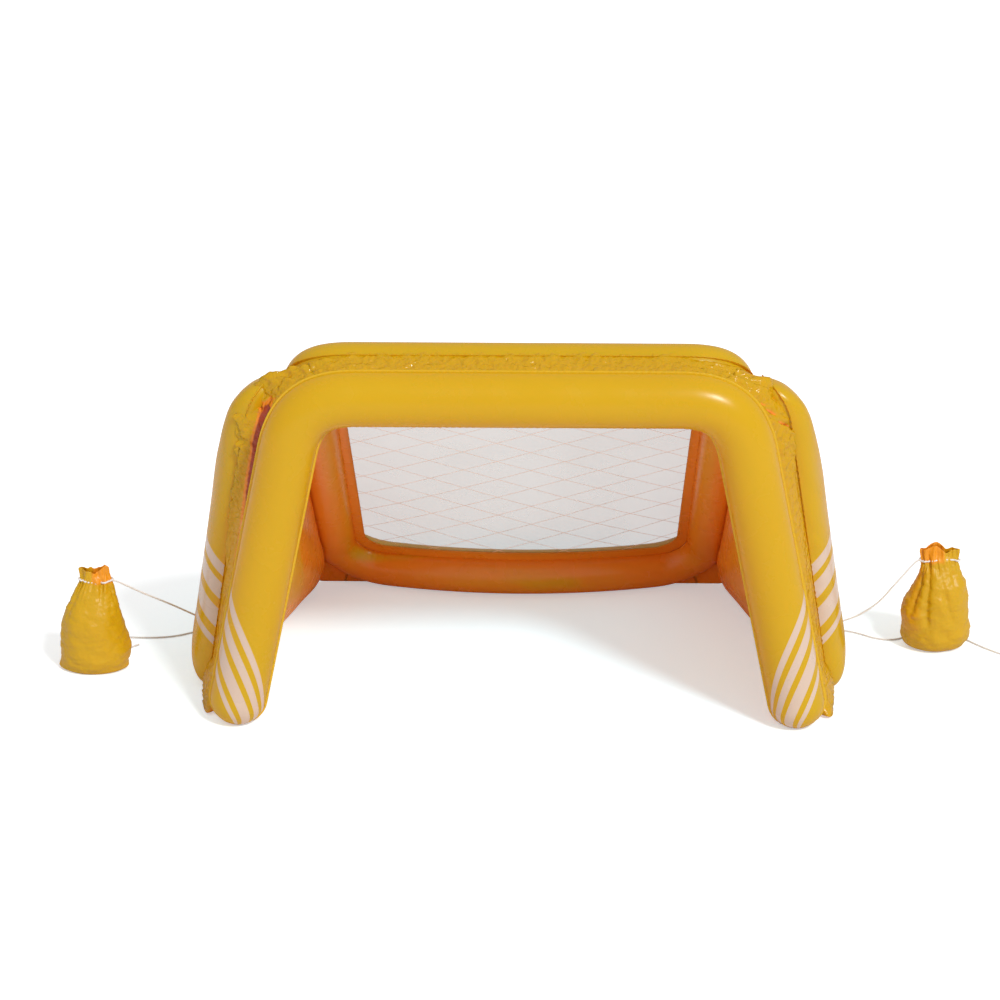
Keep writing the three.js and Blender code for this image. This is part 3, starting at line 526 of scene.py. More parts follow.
def side_stripes(n, lower):
    """Stripes that climb outwards and backwards from the front seam, on the outer face alone."""
    x, y, z = n.axes()
    bands = n.bands(
        n.sum((z, 1.0), (x, -1.08), 1.0 + lower), [(0.62, 0.651), (0.5554, 0.6), (0.4755, 0.5283), (0.426, 0.4462)]
    )
    outer = n.math("GREATER_THAN", n.sum((x, 1.0), (y, 0.28355), (z, 0.19556)), 0.6006)
    front = n.math("LESS_THAN", n.sum((y, 1.0), (z, 0.12)), -0.12)
    return n.math("MULTIPLY", bands, n.math("MULTIPLY", outer, front))


# The left cushion was printed a little lower than the right one
for name, side, lower in (("left", -1, 0.012), ("right", 1, 0.0)):
    cushion_vinyl = vinyl("cushion_vinyl_" + name, VINYL, printed=lambda n: side_stripes(n, lower))
    pillow = piece("cushion_" + name, cushion(side), cushion_vinyl)
    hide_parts("side_cushion_" + name)
    edge = [Vector((side * cushion_middle(p.y, p.z), p.y, p.z)) for p in cushion_outline]
    weld("cushion_weld_" + name, edge, Vector((side, 0.28, 0.2)).normalized())

# Webs: loose strips of the same vinyl that tie the arch to the ring and to the cushions. They
# are cut a little long, so they gather along the top and crumple at the two top corners. Each ends
# beside a foot in a loose fin.

# The webs get a redder copy of the vinyl, a painted shade for the shadow they lie in
WEB_VINYL_PAINTED_SHADE = vinyl("web_vinyl", (0.79, 0.55, 0.008), roughness=0.17, crumple=0.42)
leg_up = (arch_corners[1] - arch_corners[0]).normalized()
web_line = [arch_line[0] - leg_up * k * 0.0072 for k in range(8, 0, -1)] + arch_line
web_line += [Vector((-p.x, p.y, p.z)) for p in web_line[7::-1]]
WEB_TURN = math.radians(38)
upper_ring = [on_slope(p.x, p.y) for p in ring_loop(0.0, 0.001) if p.y < 0.07]
hubs = {}


def corner_share(centre):
    start = arch_corners[1] - leg_up * ARCH_BEND
    chord = arch_corners[1] + Vector((ARCH_BEND, 0, 0)) - start
    t = ramp((Vector((-abs(centre.x), centre.y, centre.z)) - start).dot(chord), 0.0, chord.length_squared)
    return t * t * (3 - 2 * t)


def creased(x, y, z, octaves=3):
    """Height of a crumpled sheet: sharp valleys between facets, at a few sizes. About 0 to 1."""
    at = Vector((x, y, z))
    return sum(abs(noise.noise(at * 2.13 ** k + Vector((0, 0, 7.7 * k)))) / 1.7 ** k for k in range(octaves))


def web_folds(centre, share, along, side, top):
    """How far the loose sheet stands out from its drawn line, in metres."""
    height = centre.z
    mark = min(along, web_length - along)
    corner = 4 * top * (1 - top)
    leg = 1 - top
    on_leg = leg * ramp(height, 0.1, 0.35)
    long_folds = creased(along * 7, share * 5.2, side * 3.0)
    facets = creased(along * 34, share * 2.2, side * 5.0)
    fine = creased(along * 90, share * 5.0, side * 9.0, 2)
    shift = 0.003 * on_leg * (long_folds - 0.35) + (0.0012 + 0.0105 * corner + 0.0035 * top) * (facets - 0.35)
    shift += (0.0006 + 0.003 * corner + 0.0012 * top) * (fine - 0.3)
    if side < 0:
        # The left side gapes: a pleated valley beside the leg, then a crumpled ridge
        pleats = creased(along * 70, share * 1.2, 3.0, 2)
        valley = 0.007 + 0.023 * ramp(height, 0.42, 0.52)
        shift -= on_leg * ramp(0.675 - height, 0.0, 0.03) * bell(share, 0.38, 0.2) * valley * (0.8 + 0.5 * pleats)
        lower = ramp(0.6 - height, 0.0, 0.25)
        ridge = bell(share, 0.8 + 0.1 * lower, 0.14 - 0.08 * lower)
        shift += 0.02 * leg * ridge * (0.4 + 1.5 * long_folds) * ramp(height, 0.3, 0.42)
        shift += 0.011 * leg * ridge * (facets - 0.35) * ramp(height, 0.3, 0.42)
        shift += 0.0065 * bell(height, 0.63, 0.03) * bell(share, 0.6, 0.22) * (0.2 + 2 * facets)
        shift -= 0.022 * bell(mark, 0.676, 0.008) * bell(share, 0.72, 0.12)
        shift -= 0.012 * bell(height, 0.592, 0.006) * bell(share, 0.75, 0.3)
    else:
        # The right side is drawn tight, with a hooked dent near the top
        shift -= 0.004 * on_leg * bell(share, 0.2, 0.09)
        shift -= 0.014 * bell(height, 0.63 + 0.04 * (0.6 - share), 0.0035) * bell(share, 0.62, 0.26)
        shift -= 0.01 * bell(height, 0.655 + 0.05 * (0.3 - share), 0.004) * bell(share, 0.3, 0.14)
        shift += 0.009 * leg * bell(height, 0.61, 0.06) * facets
    shift += (0.018 if side < 0 else 0.02) * bell(mark, 0.712, 0.014) * share
    return shift - 0.012 * bell(mark, 0.69, 0.006) * share


def web_point(centre, ahead, share, along):
    """A point of the sheet, and how deep a fold it lies in."""
    outward = ahead.cross(Vector((0, 1, 0)))
    side = 1 if centre.x > 0 else -1
    start = centre + (outward * math.cos(WEB_TURN) + Vector((0, math.sin(WEB_TURN), 0))) * (ARCH_RADIUS - 0.001)
    height = max(0.0, min(centre.z, CUSHION_TOP - 0.038))
    seam_y = TOE_Y + (TOP_Y - TOE_Y) * height / CUSHION_TOP
    fin = ramp(0.08 - centre.z, 0.0, 0.08)
    over = ramp(height, 0.56, CUSHION_TOP - 0.038)
    low = Vector((
        side * (cushion_middle(seam_y, height) + (0.017 + 0.005 * side) * over + 0.048 * fin * (1 - fin)),
        seam_y + 0.001 + 0.024 * over - 0.085 * fin * fin, height,
    ))
    key = round(centre.x, 5)
    if key not in hubs:
        hubs[key] = min(upper_ring, key=lambda p: abs(p.x - centre.x))
    # The strip leaves the ring where it lies flat on it
    ahead_of_ring = (start - hubs[key]).normalized()
    lean = (ahead_of_ring + Vector((0, 0, 1.6))).normalized()
    high = hubs[key] + lean * (RING_RADIUS - 0.001)
    top = corner_share(centre)
    end = low.lerp(high, top)
    lift = (0.003 if side < 0 else 0.007) * (1 - top) + 0.032 * top * (1 - top)
    middle = start.lerp(end, 0.5) + outward * 2 * lift
    tangent = (ahead_of_ring - lean * ahead_of_ring.dot(lean)).normalized()
    middle = middle.lerp(end + tangent * (end - start).length / 2, 0.8 * top * top)
    middle.y -= 2 * fin * 0.024
    point = start * (1 - share) ** 2 + middle * 2 * share * (1 - share) + end * share ** 2
    folds = min(1.0, math.sin(math.pi * share) * 1.6) * web_folds(centre, share, along, side, top)
    if side > 0:
        # One long thin crack runs beside the cushion's seam
        line = 0.93 + 0.03 * noise.noise(Vector((height * 70, 0, 2)))
        folds -= 0.009 * bell(share, line, 0.026) * ramp(height, 0.36, 0.44) * ramp(0.65 - height, 0.0, 0.02)
    scallop = 0.003 * fin * share * math.sin(along * 900)
    return point + outward * (folds + scallop), folds - (0.004 * fin if side < 0 else 0.0)


web_marks = marks(web_line)
web_length = web_marks[-1]
SHEET_THICKNESS = 0.0006


def thicken(made):
    """Gives an open sheet its two faces."""
    sheet = made.modifiers.new("sheet", "SOLIDIFY")
    sheet.thickness = SHEET_THICKNESS
    sheet.use_even_offset = False


def web(name, low, high, node):
    """The stretch of the strip between two lengths along it."""
    mesh = bmesh.new()
    steps = round((high - low) / 0.0028)
    bmesh.ops.create_grid(mesh, x_segments=steps, y_segments=56, size=1.0)
    deep = []
    for v in mesh.verts:
        along = low + (v.co.x + 1) / 2 * (high - low)
        i = max(0, min(len(web_marks) - 2, bisect_right(web_marks, along) - 1))
        part = (along - web_marks[i]) / (web_marks[i + 1] - web_marks[i])
        a, b = web_line[i], web_line[i + 1]
        here = (b - a).normalized()
        before = (a - web_line[i - 1]).normalized() if i else here
        after = (web_line[i + 2] - b).normalized() if i + 2 < len(web_line) else here
        ahead = before.lerp(here, 0.5).normalized().lerp(here.lerp(after, 0.5).normalized(), part).normalized()
        v.co, folds = web_point(a.lerp(b, part), ahead, (v.co.y + 1) / 2, along)
        deep.append(ramp(-folds, 0.002, 0.012))
    on_floor(mesh)
    made = piece(name, mesh, WEB_VINYL_PAINTED_SHADE)
    keep(made, "deep", deep)
    thicken(made)
    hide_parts(node)


web_half = 0.395
web_start = next(m for m, p in zip(web_marks, web_line) if p.x > -web_half)
web_end = next(m for m, p in zip(web_marks, web_line) if p.x > web_half)
web("web_left", 0.0, web_start, "side_web_left")
web("web_top", web_start, web_end, "top_web")
web("web_right", web_end, web_length, "side_web_right")

# Corner gussets: sheets from the ring's lower corners to the cushions and the floor, pulled into
# soft drag lines.


def gusset(side):
    start = SLOPE_LENGTH - 0.17
    reach = RING_HALF[1] - 0.067
    path = rounded_line(
        [Vector((ring_half(start), start, 0)), Vector((RING_HALF[1], SLOPE_LENGTH, 0)),
         Vector((RING_HALF[1] - 0.244, SLOPE_LENGTH, 0))],
        [0, 0.122, 0], 0.006,
    )
    path = [p for p in path if p.x > reach]
    top = on_slope(path[0].x, path[0].y)
    floor_y = RING_BOTTOM.y - 0.0305
    edge = rounded_line(
        [Vector((cushion_middle(top.y, top.z), top.y, top.z)), Vector((RING_HALF[1] + 0.056, floor_y, 0.0014)),
         Vector((reach, floor_y, 0.0014))],
        [0, 0.025, 0], 0.006,
    )
    mesh = bmesh.new()
    for v in bmesh.ops.create_grid(mesh, x_segments=60, y_segments=24, size=1.0)["verts"]:
        i, share = (v.co.x + 1) / 2, (v.co.y + 1) / 2
        inner = path[round(i * (len(path) - 1))]
        outer = edge[round(i * (len(edge) - 1))]
        at = on_slope(inner.x, inner.y).lerp(outer, share)
        at.z += 0.0022 * math.sin(math.pi * share) * math.sin(i * 34 + 3 * share)
        v.co = Vector((side * at.x, at.y, at.z))
    on_floor(mesh)
    bmesh.ops.solidify(mesh, geom=mesh.faces[:], thickness=0.0008)
    return outward(mesh)


# The gussets are coloured whole with the painted deep orange red of shade and light through the skins
gusset_vinyl = vinyl("gusset_vinyl", PAINTED_SHADE_GLOW_VINYL, roughness=0.3, crumple=0.1)
for name, side in (("left", -1), ("right", 1)):
    made = piece("gusset_" + name, gusset(side), gusset_vinyl)
    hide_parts("corner_gusset_" + name)

# Net window: a band of yellow vinyl inside the ring, and behind it a clear film on which the net
# is printed in thin lines.


def band(outer, inner, thickness):
    mesh = bmesh.new()
    loops = []
    for line in (outer, inner):
        verts = [mesh.verts.new(p) for p in line]
        loops += [mesh.edges.new((a, b)) for a, b in zip(verts, verts[1:] + verts[:1])]
    bmesh.ops.bridge_loops(mesh, edges=loops)
    bmesh.ops.subdivide_edges(mesh, edges=[e for e in mesh.edges if e not in loops], cuts=6)
    for v in mesh.verts:
        v.co += NET_NORMAL * 0.0007 * noise.noise(v.co * 60)
    bmesh.ops.solidify(mesh, geom=mesh.faces[:], thickness=thickness)
    return outward(mesh)


BAND_POINTS = 300


def evenly(line):
    closed_line = line + [line[0]]
    lengths = marks(closed_line)
    result, i = [], 0
    for k in range(BAND_POINTS):
        target = lengths[-1] * k / BAND_POINTS
        while lengths[i + 1] < target:
            i += 1
        part = (target - lengths[i]) / max(1e-9, lengths[i + 1] - lengths[i])
        result.append(closed_line[i].lerp(closed_line[i + 1], part))
    return result


# The band's dark orange red is a painted shade on yellow vinyl that lies in the ring's shadow
border = piece(
    "net_band",
    band(
        evenly(ring_path(RING_RADIUS - 0.004, 0.012)),
        evenly(ring_path(RING_RADIUS + 0.02, 0.012, bottom_rise=0.02)),
        0.001,
    ),
    vinyl("band_vinyl", (0.6, 0.22, 0.006), roughness=0.28),
)
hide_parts("net_border")

film_mesh = bmesh.new()
for v in bmesh.ops.create_grid(film_mesh, x_segments=120, y_segments=90, size=1.0)["verts"]:
    down = 0.06 + (v.co.y + 1) / 2 * (SLOPE_LENGTH - 0.12)
    half = ring_half(down) - 0.06
    sag = 0.0012 * noise.noise(Vector((v.co.x * 5, v.co.y * 3, 0)))
    v.co = on_slope(v.co.x * half, down, 0.0022 + sag)
n = Nodes(bpy.data.materials.new("printed_film"))
parts = n.add("SeparateXYZ", [("Vector", n.place())]).outputs
wide, tall, fall = 0.073, 0.0425, 0.7235  # one mesh of the net, and the film's drop for each metre
sideways = n.sum((parts["X"], 1 / wide), -0.024 / wide)
down = n.sum((parts["Z"], -1 / (fall * tall)), (RING_TOP.z / fall - 0.312) / tall)
lines = 0.0
for sign in (1.0, -1.0):
    phase = n.math("FRACT", n.sum((sideways, 0.5), (down, 0.5 * sign), 100.0))
    near = n.math("ABSOLUTE", n.math("SUBTRACT", phase, 0.5))
    lines = n.math("MAXIMUM", lines, n.math("GREATER_THAN", near, 0.4855))
n.link(n.mix(lines, (0.385, 0.315, 0.245), (0.85, 0.6, 0.45)), "Base Color")
n.link(n.sum((n.texture("Noise", 5.0, 4.0), 0.08), (lines, 0.28), 0.53), "Alpha")
n.link(n.bump(n.texture("Noise", 9.0), 0.3, 0.006), "Normal")
n.shader.inputs["Roughness"].default_value = 0.2
film = piece("film", film_mesh, n.material)
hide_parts("net_film")

# Painted shade and glow: the colour is painted deeper orange red where the vinyl pieces face each other, so each
# point's share of sky that other vinyl covers is measured once and kept in the mesh.


NEAR = 0.8  # how far away other vinyl still counts
SKIN_GAP = 0.004  # a ray starts this far off the skin
GOLDEN_TURN = 2.39996
FLOOR_SHARE = 0.55


def measure_painted_shade(pieces, roof, rays):
    """How much painted shade and glow each vertex gets: the share of directions in which other vinyl stands near.

    The roof is the film. It covers the inside of the goal, and isn't seen from points above it. The
    floor inside the goal counts in part, and a face that the key light reaches counts less.
    """
    corners, faces = [], []
    for made in [roof] + [p for p in pieces if not p.name.startswith("web_")]:
        base = len(corners)
        corners += [v.co.copy() for v in made.data.vertices]
        faces += [[base + i for i in polygon.vertices] for polygon in made.data.polygons]
    tree = BVHTree.FromPolygons(corners, faces)
    roof_faces = len(roof.data.polygons)
    spiral = []
    for k in range(rays):
        out = math.sqrt((k + 0.5) / rays)
        turn = GOLDEN_TURN * k
        spiral.append((out * math.cos(turn), out * math.sin(turn), math.sqrt(1 - out * out)))
    for made in pieces:
        data = made.data
        shares = []
        for v in data.vertices:
            up = v.normal
            side = up.cross(Vector((0.31, 0.52, 0.8))).normalized()
            third = up.cross(side)
            start = v.co + up * SKIN_GAP
            under = (v.co - RING_TOP).dot(NET_NORMAL) < 0
            total = 0.0
            for a, b, c in spiral:
                ray = side * a + third * b + up * c
                hit = tree.ray_cast(start, ray, NEAR)[2]
                if hit is not None:
                    total += under or hit >= roof_faces
                elif ray.z < 0:
                    floor = start - ray * (start.z / ray.z)
                    total += FLOOR_SHARE * (abs(floor.x) < 0.6 and abs(floor.y) < 0.4)
            facing = max(0.0, up.dot(KEY_LIGHT))
            block = tree.ray_cast(start, KEY_LIGHT, 3.0)[2] if facing else None
            if block is None or block < roof_faces:
                total *= 1.0 - 0.7 * facing
            shares.append(total / rays)
        near = [[] for _ in shares]
        for edge in data.edges:
            a, b = edge.vertices
            near[a].append(b)
            near[b].append(a)
        for _ in range(5):
            shares = [(share + sum(shares[k] for k in ks)) / (1 + len(ks)) for share, ks in zip(shares, near)]
        # Deep folds get more painted shade, up to the painted dark red of a crevice
        if "deep" in data.attributes:
            spots = data.attributes["deep"].data
            shares = [0.6 * share + 1.6 * spot.value for share, spot in zip(shares, spots)]
        keep(made, "sheltered", shares)


VINYL_NAMES = ("arch_", "ring_", "cushion_", "web_", "gusset_", "net_band")
vinyl_pieces = [
    made for made in bpy.data.objects if made.name.startswith(VINYL_NAMES) and "weld" not in made.name
]
measure_painted_shade(vinyl_pieces, film, rays=28)

# Valves: a soft clear seat welded into each chamber, a tube that pushes in to lie flush, and a cap
# on a short strap. The record's joints say where each one stands.

clear = vinyl("clear_vinyl", (0.36, 0.42, 0.55), roughness=0.2, through=0.0)
clear.node_tree.nodes["Principled BSDF"].inputs["Transmission Weight"].default_value = 0.35


def spun(mesh, profile):
    """A profile of radius and height, in millimetres, turned about the valve's axis."""
    verts = [mesh.verts.new((r, 0, z)) for r, z in profile]
    edges = [mesh.edges.new((a, b)) for a, b in zip(verts, verts[1:])]
    bmesh.ops.spin(
        mesh, geom=verts + edges, cent=(0, 0, 0), axis=(0, 0, 1), angle=2 * math.pi, steps=48, use_merge=True,
    )


def valve_piece(part, key, outline, boxes, place, inner_floor=()):
    name = part + "_" + key
    mesh = bmesh.new()
    spun(mesh, outline + outline[:1])
    if inner_floor:
        spun(mesh, inner_floor)
    for centre, size in boxes:
        at = Matrix.Translation(centre) @ Matrix.Diagonal((*size, 1))
        box = bmesh.ops.create_cube(mesh, size=1.0, matrix=at)
        bmesh.ops.bevel(mesh, geom=edges_of(box["verts"]), offset=min(size) * 0.25, segments=2, affect="EDGES")
    bmesh.ops.remove_doubles(mesh, verts=mesh.verts, dist=0.001)
    bmesh.ops.transform(mesh, matrix=place @ Matrix.Scale(0.001, 4), verts=mesh.verts)
    outward(mesh)
    made = piece(name, mesh, clear, "goal" if part == "seat" else name)
    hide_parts("valve_" + name)


HINGE_OUT, HINGE_UP = 0.0098, 0.0155  # where the cap's hinge is, seen from the seat's centre
joints = {j["name"]: j for j in frame["record"]["behaviour"]["joints"]}
for key in ("arch", "ring", "left", "right"):
    up = Vector(joints["stem_slide_" + key]["axis"]).normalized()
    hinge = joints["cap_hinge_" + key]
    across = Vector(hinge["axis"]).normalized()
    outwards = across.cross(up)
    pivot = Vector(hinge["pos_m"])
    place = Matrix((outwards, across, up)).transposed().to_4x4()
    place.translation = pivot - outwards * HINGE_OUT - up * HINGE_UP
    valve_piece(
        "seat", key,
        [(5.3, -10), (8, -10), (8, -0.2), (13.6, -0.2), (14, 0.6), (13.4, 1.4), (11.8, 1.5), (11.2, 0.9),
         (9.6, 0.9), (8.8, 1.6), (6.4, 1.6), (5.3, 1)],
        [], place,
    )
    valve_piece(
        "stem", key,
        [(4.3, 4), (4.6, 2.8), (5, 3), (5, 12.8), (5.6, 13.8), (6.9, 14), (7, 14.6), (6.8, 15.5), (4.6, 15.5),
         (4.3, 15)],
        [((7.4, 0, 14.7), (2.2, 4, 1.4))], place, inner_floor=[(4.3, 6.2), (2.2, 5.8), (0.02, 5.7)],
    )
    valve_piece(
        "cap", key,
        [(0.02, 13.4), (3.1, 13.4), (3.7, 13.9), (3.8, 15.8), (6.4, 15.8), (6.8, 16.6), (6.4, 17.5),
         (4.5, 17.8), (3.6, 17.4), (0.02, 17.4)],
        [((8.1, 0, 16.4), (3.8, 4, 1.1)), ((9.8, 0, 15.8), (1.8, 4, 1.8))], place,
    )

# Tie tabs: a patch welded low on each cushion, with a tongue that holds the cord's eyelet. Their
# CAD solids are shown as they are, and only get their materials.

tab_vinyl = vinyl("tab_vinyl", VINYL, roughness=0.3)
for name in ("left", "right"):
    for node, material in (("tie_tab_", tab_vinyl), ("tie_eyelet_", clear)):
        made = frame["nodes"][node + name]
        made.data.materials.clear()
        made.data.materials.append(material)

# Anchor bags: flat vinyl sacks with a square bottom seam, filled with sand to about two thirds and
# drawn together at the neck. Above the cord the two sheets of the mouth stand up as a gathered flap.
# The sand stays hidden, so its CAD solid isn't shown.

bag_vinyl = vinyl("bag_vinyl", (0.76, 0.49, 0.008), roughness=0.4, crumple=0.16, through=0.3)
NECK = 0.2047
# Each bag's place, a seed for its folds, its deep folds, and its sizes in millimetres at some
# heights: how far it reaches left, right, and to the front and back
Bag = namedtuple("Bag", "x y seed folds rows")
BAGS = {
    "left": Bag(
        -0.9122, -0.1045, 1.3, [(-2.5, -1.0, 0.06, 0.11), (-1.2, 1.2, 0.05, 0.13), (-0.5, 2.0, 0.06, 0.12)],
        [(0, -70, 62, 40), (6, -78.5, 71, 46), (18, -75.5, 70, 54), (30, -73, 72.5, 57), (50, -73, 74.5, 57),
         (115, -69, 62, 50), (153, -54, 54, 38), (185, -38, 47, 22), (199, -30, 43, 13), (207, -27, 41, 11),
         (222, -29, 37, 7), (238, -31, 36, 4)],
    ),
    "right": Bag(
        0.9102, 0.0415, 4.1,
        [(-2.7, 2.4, 0.11, 0.07), (-2.25, 3.0, 0.13, 0.05), (-1.75, 5.5, 0.06, 0.05), (-0.9, -2.0, 0.04, 0.12)],
        [(0, -52, 48, 36), (6, -66, 60, 46), (18, -74.5, 67, 54), (30, -76.5, 70, 57), (89, -77, 69, 56),
         (116, -69, 68, 52), (150, -52, 62, 42), (174, -41, 50, 27), (190, -38, 44, 16), (207, -40, 42, 11),
         (222, -43, 44, 8), (238, -42, 44, 5)],
    ),
}


def bag_sizes(rows, height):
    height *= 1000
    for low, high in zip(rows, rows[1:]):
        if height <= high[0]:
            t = (height - low[0]) / (high[0] - low[0])
            return [(low[k] + (high[k] - low[k]) * t) / 1000 for k in (1, 2, 3)]
    return [size / 1000 for size in rows[-1][1:]]


def bag_point(bag, turn, height):
    """A point of the bag's skin. Turn 0 is at its right, and a quarter turn back is its front."""
    left, right, depth = bag_sizes(bag.rows, height)
    # The seam at the bottom and the flap at the top are flat, so the skin is pointed at its sides
    pointed = 1 + 0.35 * max(0.0, 1 - height / 0.025) + 0.3 * ramp(height, 0.16, 0.2)
    c, s = math.cos(turn), math.sin(turn)
    x = (left + right) / 2 + (right - left) / 2 * c
    y = depth * math.copysign(abs(s) ** pointed, s)
    neck = bell(height, NECK, 0.03)
    flap = ramp(height, NECK, NECK + 0.012)
    around = Vector((c * 1.6, s * 1.6, bag.seed))
    pleats = 1 - 2.4 * abs(noise.noise(around * 2.4 + Vector((0, 0, height * 4))))
    y += (0.0055 * neck * pleats * (1 - flap)) * math.copysign(min(1.0, abs(s) * 2), s)
    # Both sheets of the flap share their gathers
    gather = noise.noise(Vector((x * 62, height * 9, bag.seed)))
    gather += 0.5 * noise.noise(Vector((x * 150, height * 16, bag.seed)))
    y += 0.009 * flap * gather
    low = min(1.0, height / 0.02)
    swell = 1 + low * (1 - neck) * 0.05 * noise.noise(Vector((c * 1.7, s * 1.7, height * 13 + bag.seed)))
    # A few deep folds run down from the neck
    for start, slope, deep, reach in bag.folds:
        lean = (turn - start - (0.2 - height) * slope + math.pi) % (2 * math.pi) - math.pi
        swell -= deep * bell(lean, 0, 0.11) * ramp(height, reach, reach + 0.05)
    return Vector((bag.x + x * swell, bag.y + y * swell, height))


def bag_top(bag, turn):
    """The flap's uneven top edge: a square stretch, and one where a corner is folded down."""
    c = math.cos(turn)
    if bag.x < 0:
        edge = 0.23 - 0.004 * bell(c, 0.1, 0.25) + 0.009 * bell(c, 0.8, 0.3)
    else:
        edge = 0.228 + 0.012 * bell(c, -0.25, 0.35) - 0.005 * bell(c, 0.35, 0.15) + 0.002 * max(0.0, c)
    front = 0.004 * math.sin(turn) * (1 - abs(c))
    return edge + front + 0.0015 * noise.noise(Vector((c * 9, math.sin(turn) * 2, bag.seed)))


def bag_mesh(bag):
    mesh = bmesh.new()
    rows, sides, loops = 96, 160, []
    for k in range(rows):
        share = k / (rows - 1)
        ring_verts = bmesh.ops.create_circle(mesh, segments=sides, radius=1.0)["verts"]
        for v in ring_verts:
            turn = math.atan2(v.co.y, v.co.x)
            top = 0.2 + (bag_top(bag, turn) - 0.2) * ramp(share, 0.8, 1.0) if share > 0.8 else 0.25 * share
            v.co = bag_point(bag, turn, top)
        loops.append(edges_of(ring_verts))
    for a, b in zip(loops, loops[1:]):
        bmesh.ops.bridge_loops(mesh, edges=a + b)
    bmesh.ops.contextual_create(mesh, geom=loops[0])
    outward(mesh)
    for v in mesh.verts:
        on_body = min(1.0, v.co.z / 0.012) * max(0.25, ramp(0.21 - v.co.z, 0.0, 0.02))
        fine = creased(v.co.x * 22, v.co.y * 22, v.co.z * 60 + bag.seed)
        broad = creased(v.co.x * 16 + v.co.z * 9, v.co.y * 16, v.co.z * 15 - bag.seed, 2)
        v.co += v.normal * on_body * (0.0028 * (fine - 0.35) + 0.0048 * (broad - 0.35))
    on_floor(mesh)
    return mesh


def paint_bag_glow(made, bag):
    """Paints the orange red glow of light that comes through the flap's double and folded sheets, and down the
    folded side.
    """
    shares = []
    for v in made.data.vertices:
        x, z = v.co.x - bag.x, v.co.z
        flap = ramp(z, 0.196, 0.204)
        if bag.x < 0:
            glow = flap * ramp(x, -0.004, 0.002) + 0.3 * bell(z, 0.19, 0.02) * (x > 0)
            glow += 0.45 * max(0.0, (-x - 0.055) / 0.02) * (z < 0.06) + 0.3 * max(0.0, (x - 0.05) / 0.02)
        else:
            glow = flap * ramp(0.016 - x, 0.0, 0.008) + 0.45 * bell(z, 0.185, 0.03) * (x < -0.01)
            glow += 0.55 * ramp(-x, 0.028, 0.048) * min(1.0, z / 0.06)
        glow += 0.12 * noise.noise(v.co * 70)
        shares.append(0.1 + 0.32 * ramp(glow, 0.0, 1.0))
    keep(made, "sheltered", shares)


for name, bag in BAGS.items():
    made = piece("bag_" + name, bag_mesh(bag), bag_vinyl)
    paint_bag_glow(made, bag)
    thicken(made)
    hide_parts("anchor_bag_" + name, "bag_ballast_" + name)

# Anchor cords: thin white braided cord. One stretch draws each bag's neck together, and shows at the
# neck's two sides. The other runs from there through the eyelet and back along the floor.

HOLE = (0.6484, 0.066)
LYING = 2.2
# Millimetres outwards and back from the eyelet's hole, and up. A point without a height lies down
CORD_POINTS = {
    -1: [
        (226, -170.5, 204.7), (209.8, -164, 198), (163.8, -132, 160), (107.8, -90, 115), (57.8, -55, 74),
        (23.8, -33, 48), (4.8, -15, 38), (1.25, 0, 36), (1.8, 15, 33), (9.8, 33, 18), (31.8, 37, 5),
        (63.8, 21), (101.8, -2.5), (139.8, -13.5), (177.8, -15.5), (212.8, -13.5), (251.8, -9.5),
        (287.8, -12.5), (313.8, -30.5), (311.8, -58.5), (283.8, -74.5), (243.8, -76.5), (204.8, -69.5),
        (183.8, -52.5),
    ],
    1: [
        (224, -24.5, 204.7), (208.8, -28, 196), (168.8, -38.5, 152), (133.8, -36.5, 108),
        (95.8, -30.5, 76), (61.8, -28.5, 60), (27.8, -26.5, 47), (5.8, -14.5, 38), (1.25, 0, 36),
        (1.8, 15.5, 33), (9.8, 35.5, 18), (37.8, 48.5, 4), (73.8, 45.5), (101.8, 30.5), (126.8, 11.5),
        (156.8, -0.5), (185.8, 5.5), (207.8, 29.5), (243.8, 46.5), (281.8, 44.5), (311.8, 27.5),
        (334.8, -0.5), (363.8, -36.5), (398.8, -71.5), (435.8, -92.5), (463.8, -100.5),
    ],
}
CORD_RADIUS = 0.002
n = Nodes(bpy.data.materials.new("braided_cord"))
cord_material = n.material
strands = n.add(
    "TexWave", [("Scale", 260.0), ("Distortion", 3.0), ("Detail Scale", 4.0), ("Vector", n.place())],
    bands_direction="DIAGONAL",
).outputs["Fac"]
n.link(n.mix(strands, (0.92, 0.89, 0.87), (0.74, 0.69, 0.65)), "Base Color")
n.link(n.bump(strands, 0.6, 0.0005), "Normal")
n.shader.inputs["Roughness"].default_value = 0.85
n.shader.inputs["Sheen Weight"].default_value = 0.2


SPAN_STEPS = 8


def smooth_route(points):
    """A curve through the points, by the Catmull-Rom rule that the solids follow."""
    ghosts = [points[0] * 2 - points[1]] + points + [points[-1] * 2 - points[-2]]
    route = []
    for i in range(1, len(ghosts) - 2):
        a, b, c, d = ghosts[i - 1 : i + 3]
        route += [
            (b * 2 + (c - a) * t + (a * 2 - b * 5 + c * 4 - d) * t * t + (b * 3 - a - c * 3 + d) * t ** 3) / 2
            for t in (k / SPAN_STEPS for k in range(SPAN_STEPS))
        ]
    return route + [points[-1]]


def cord_curve(name, route, cyclic=False):
    data = bpy.data.curves.new(name, "CURVE")
    data.dimensions = "3D"
    spline = data.splines.new("POLY")
    spline.points.add(len(route) - 1)
    for point, at in zip(spline.points, route):
        point.co = (*at, 1)
    spline.use_cyclic_u = cyclic
    data.bevel_depth = CORD_RADIUS
    data.bevel_resolution = 3
    data.use_fill_caps = not cyclic
    data.materials.append(cord_material)
    made = placed(name, data)
    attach(made, "goal")
    return made


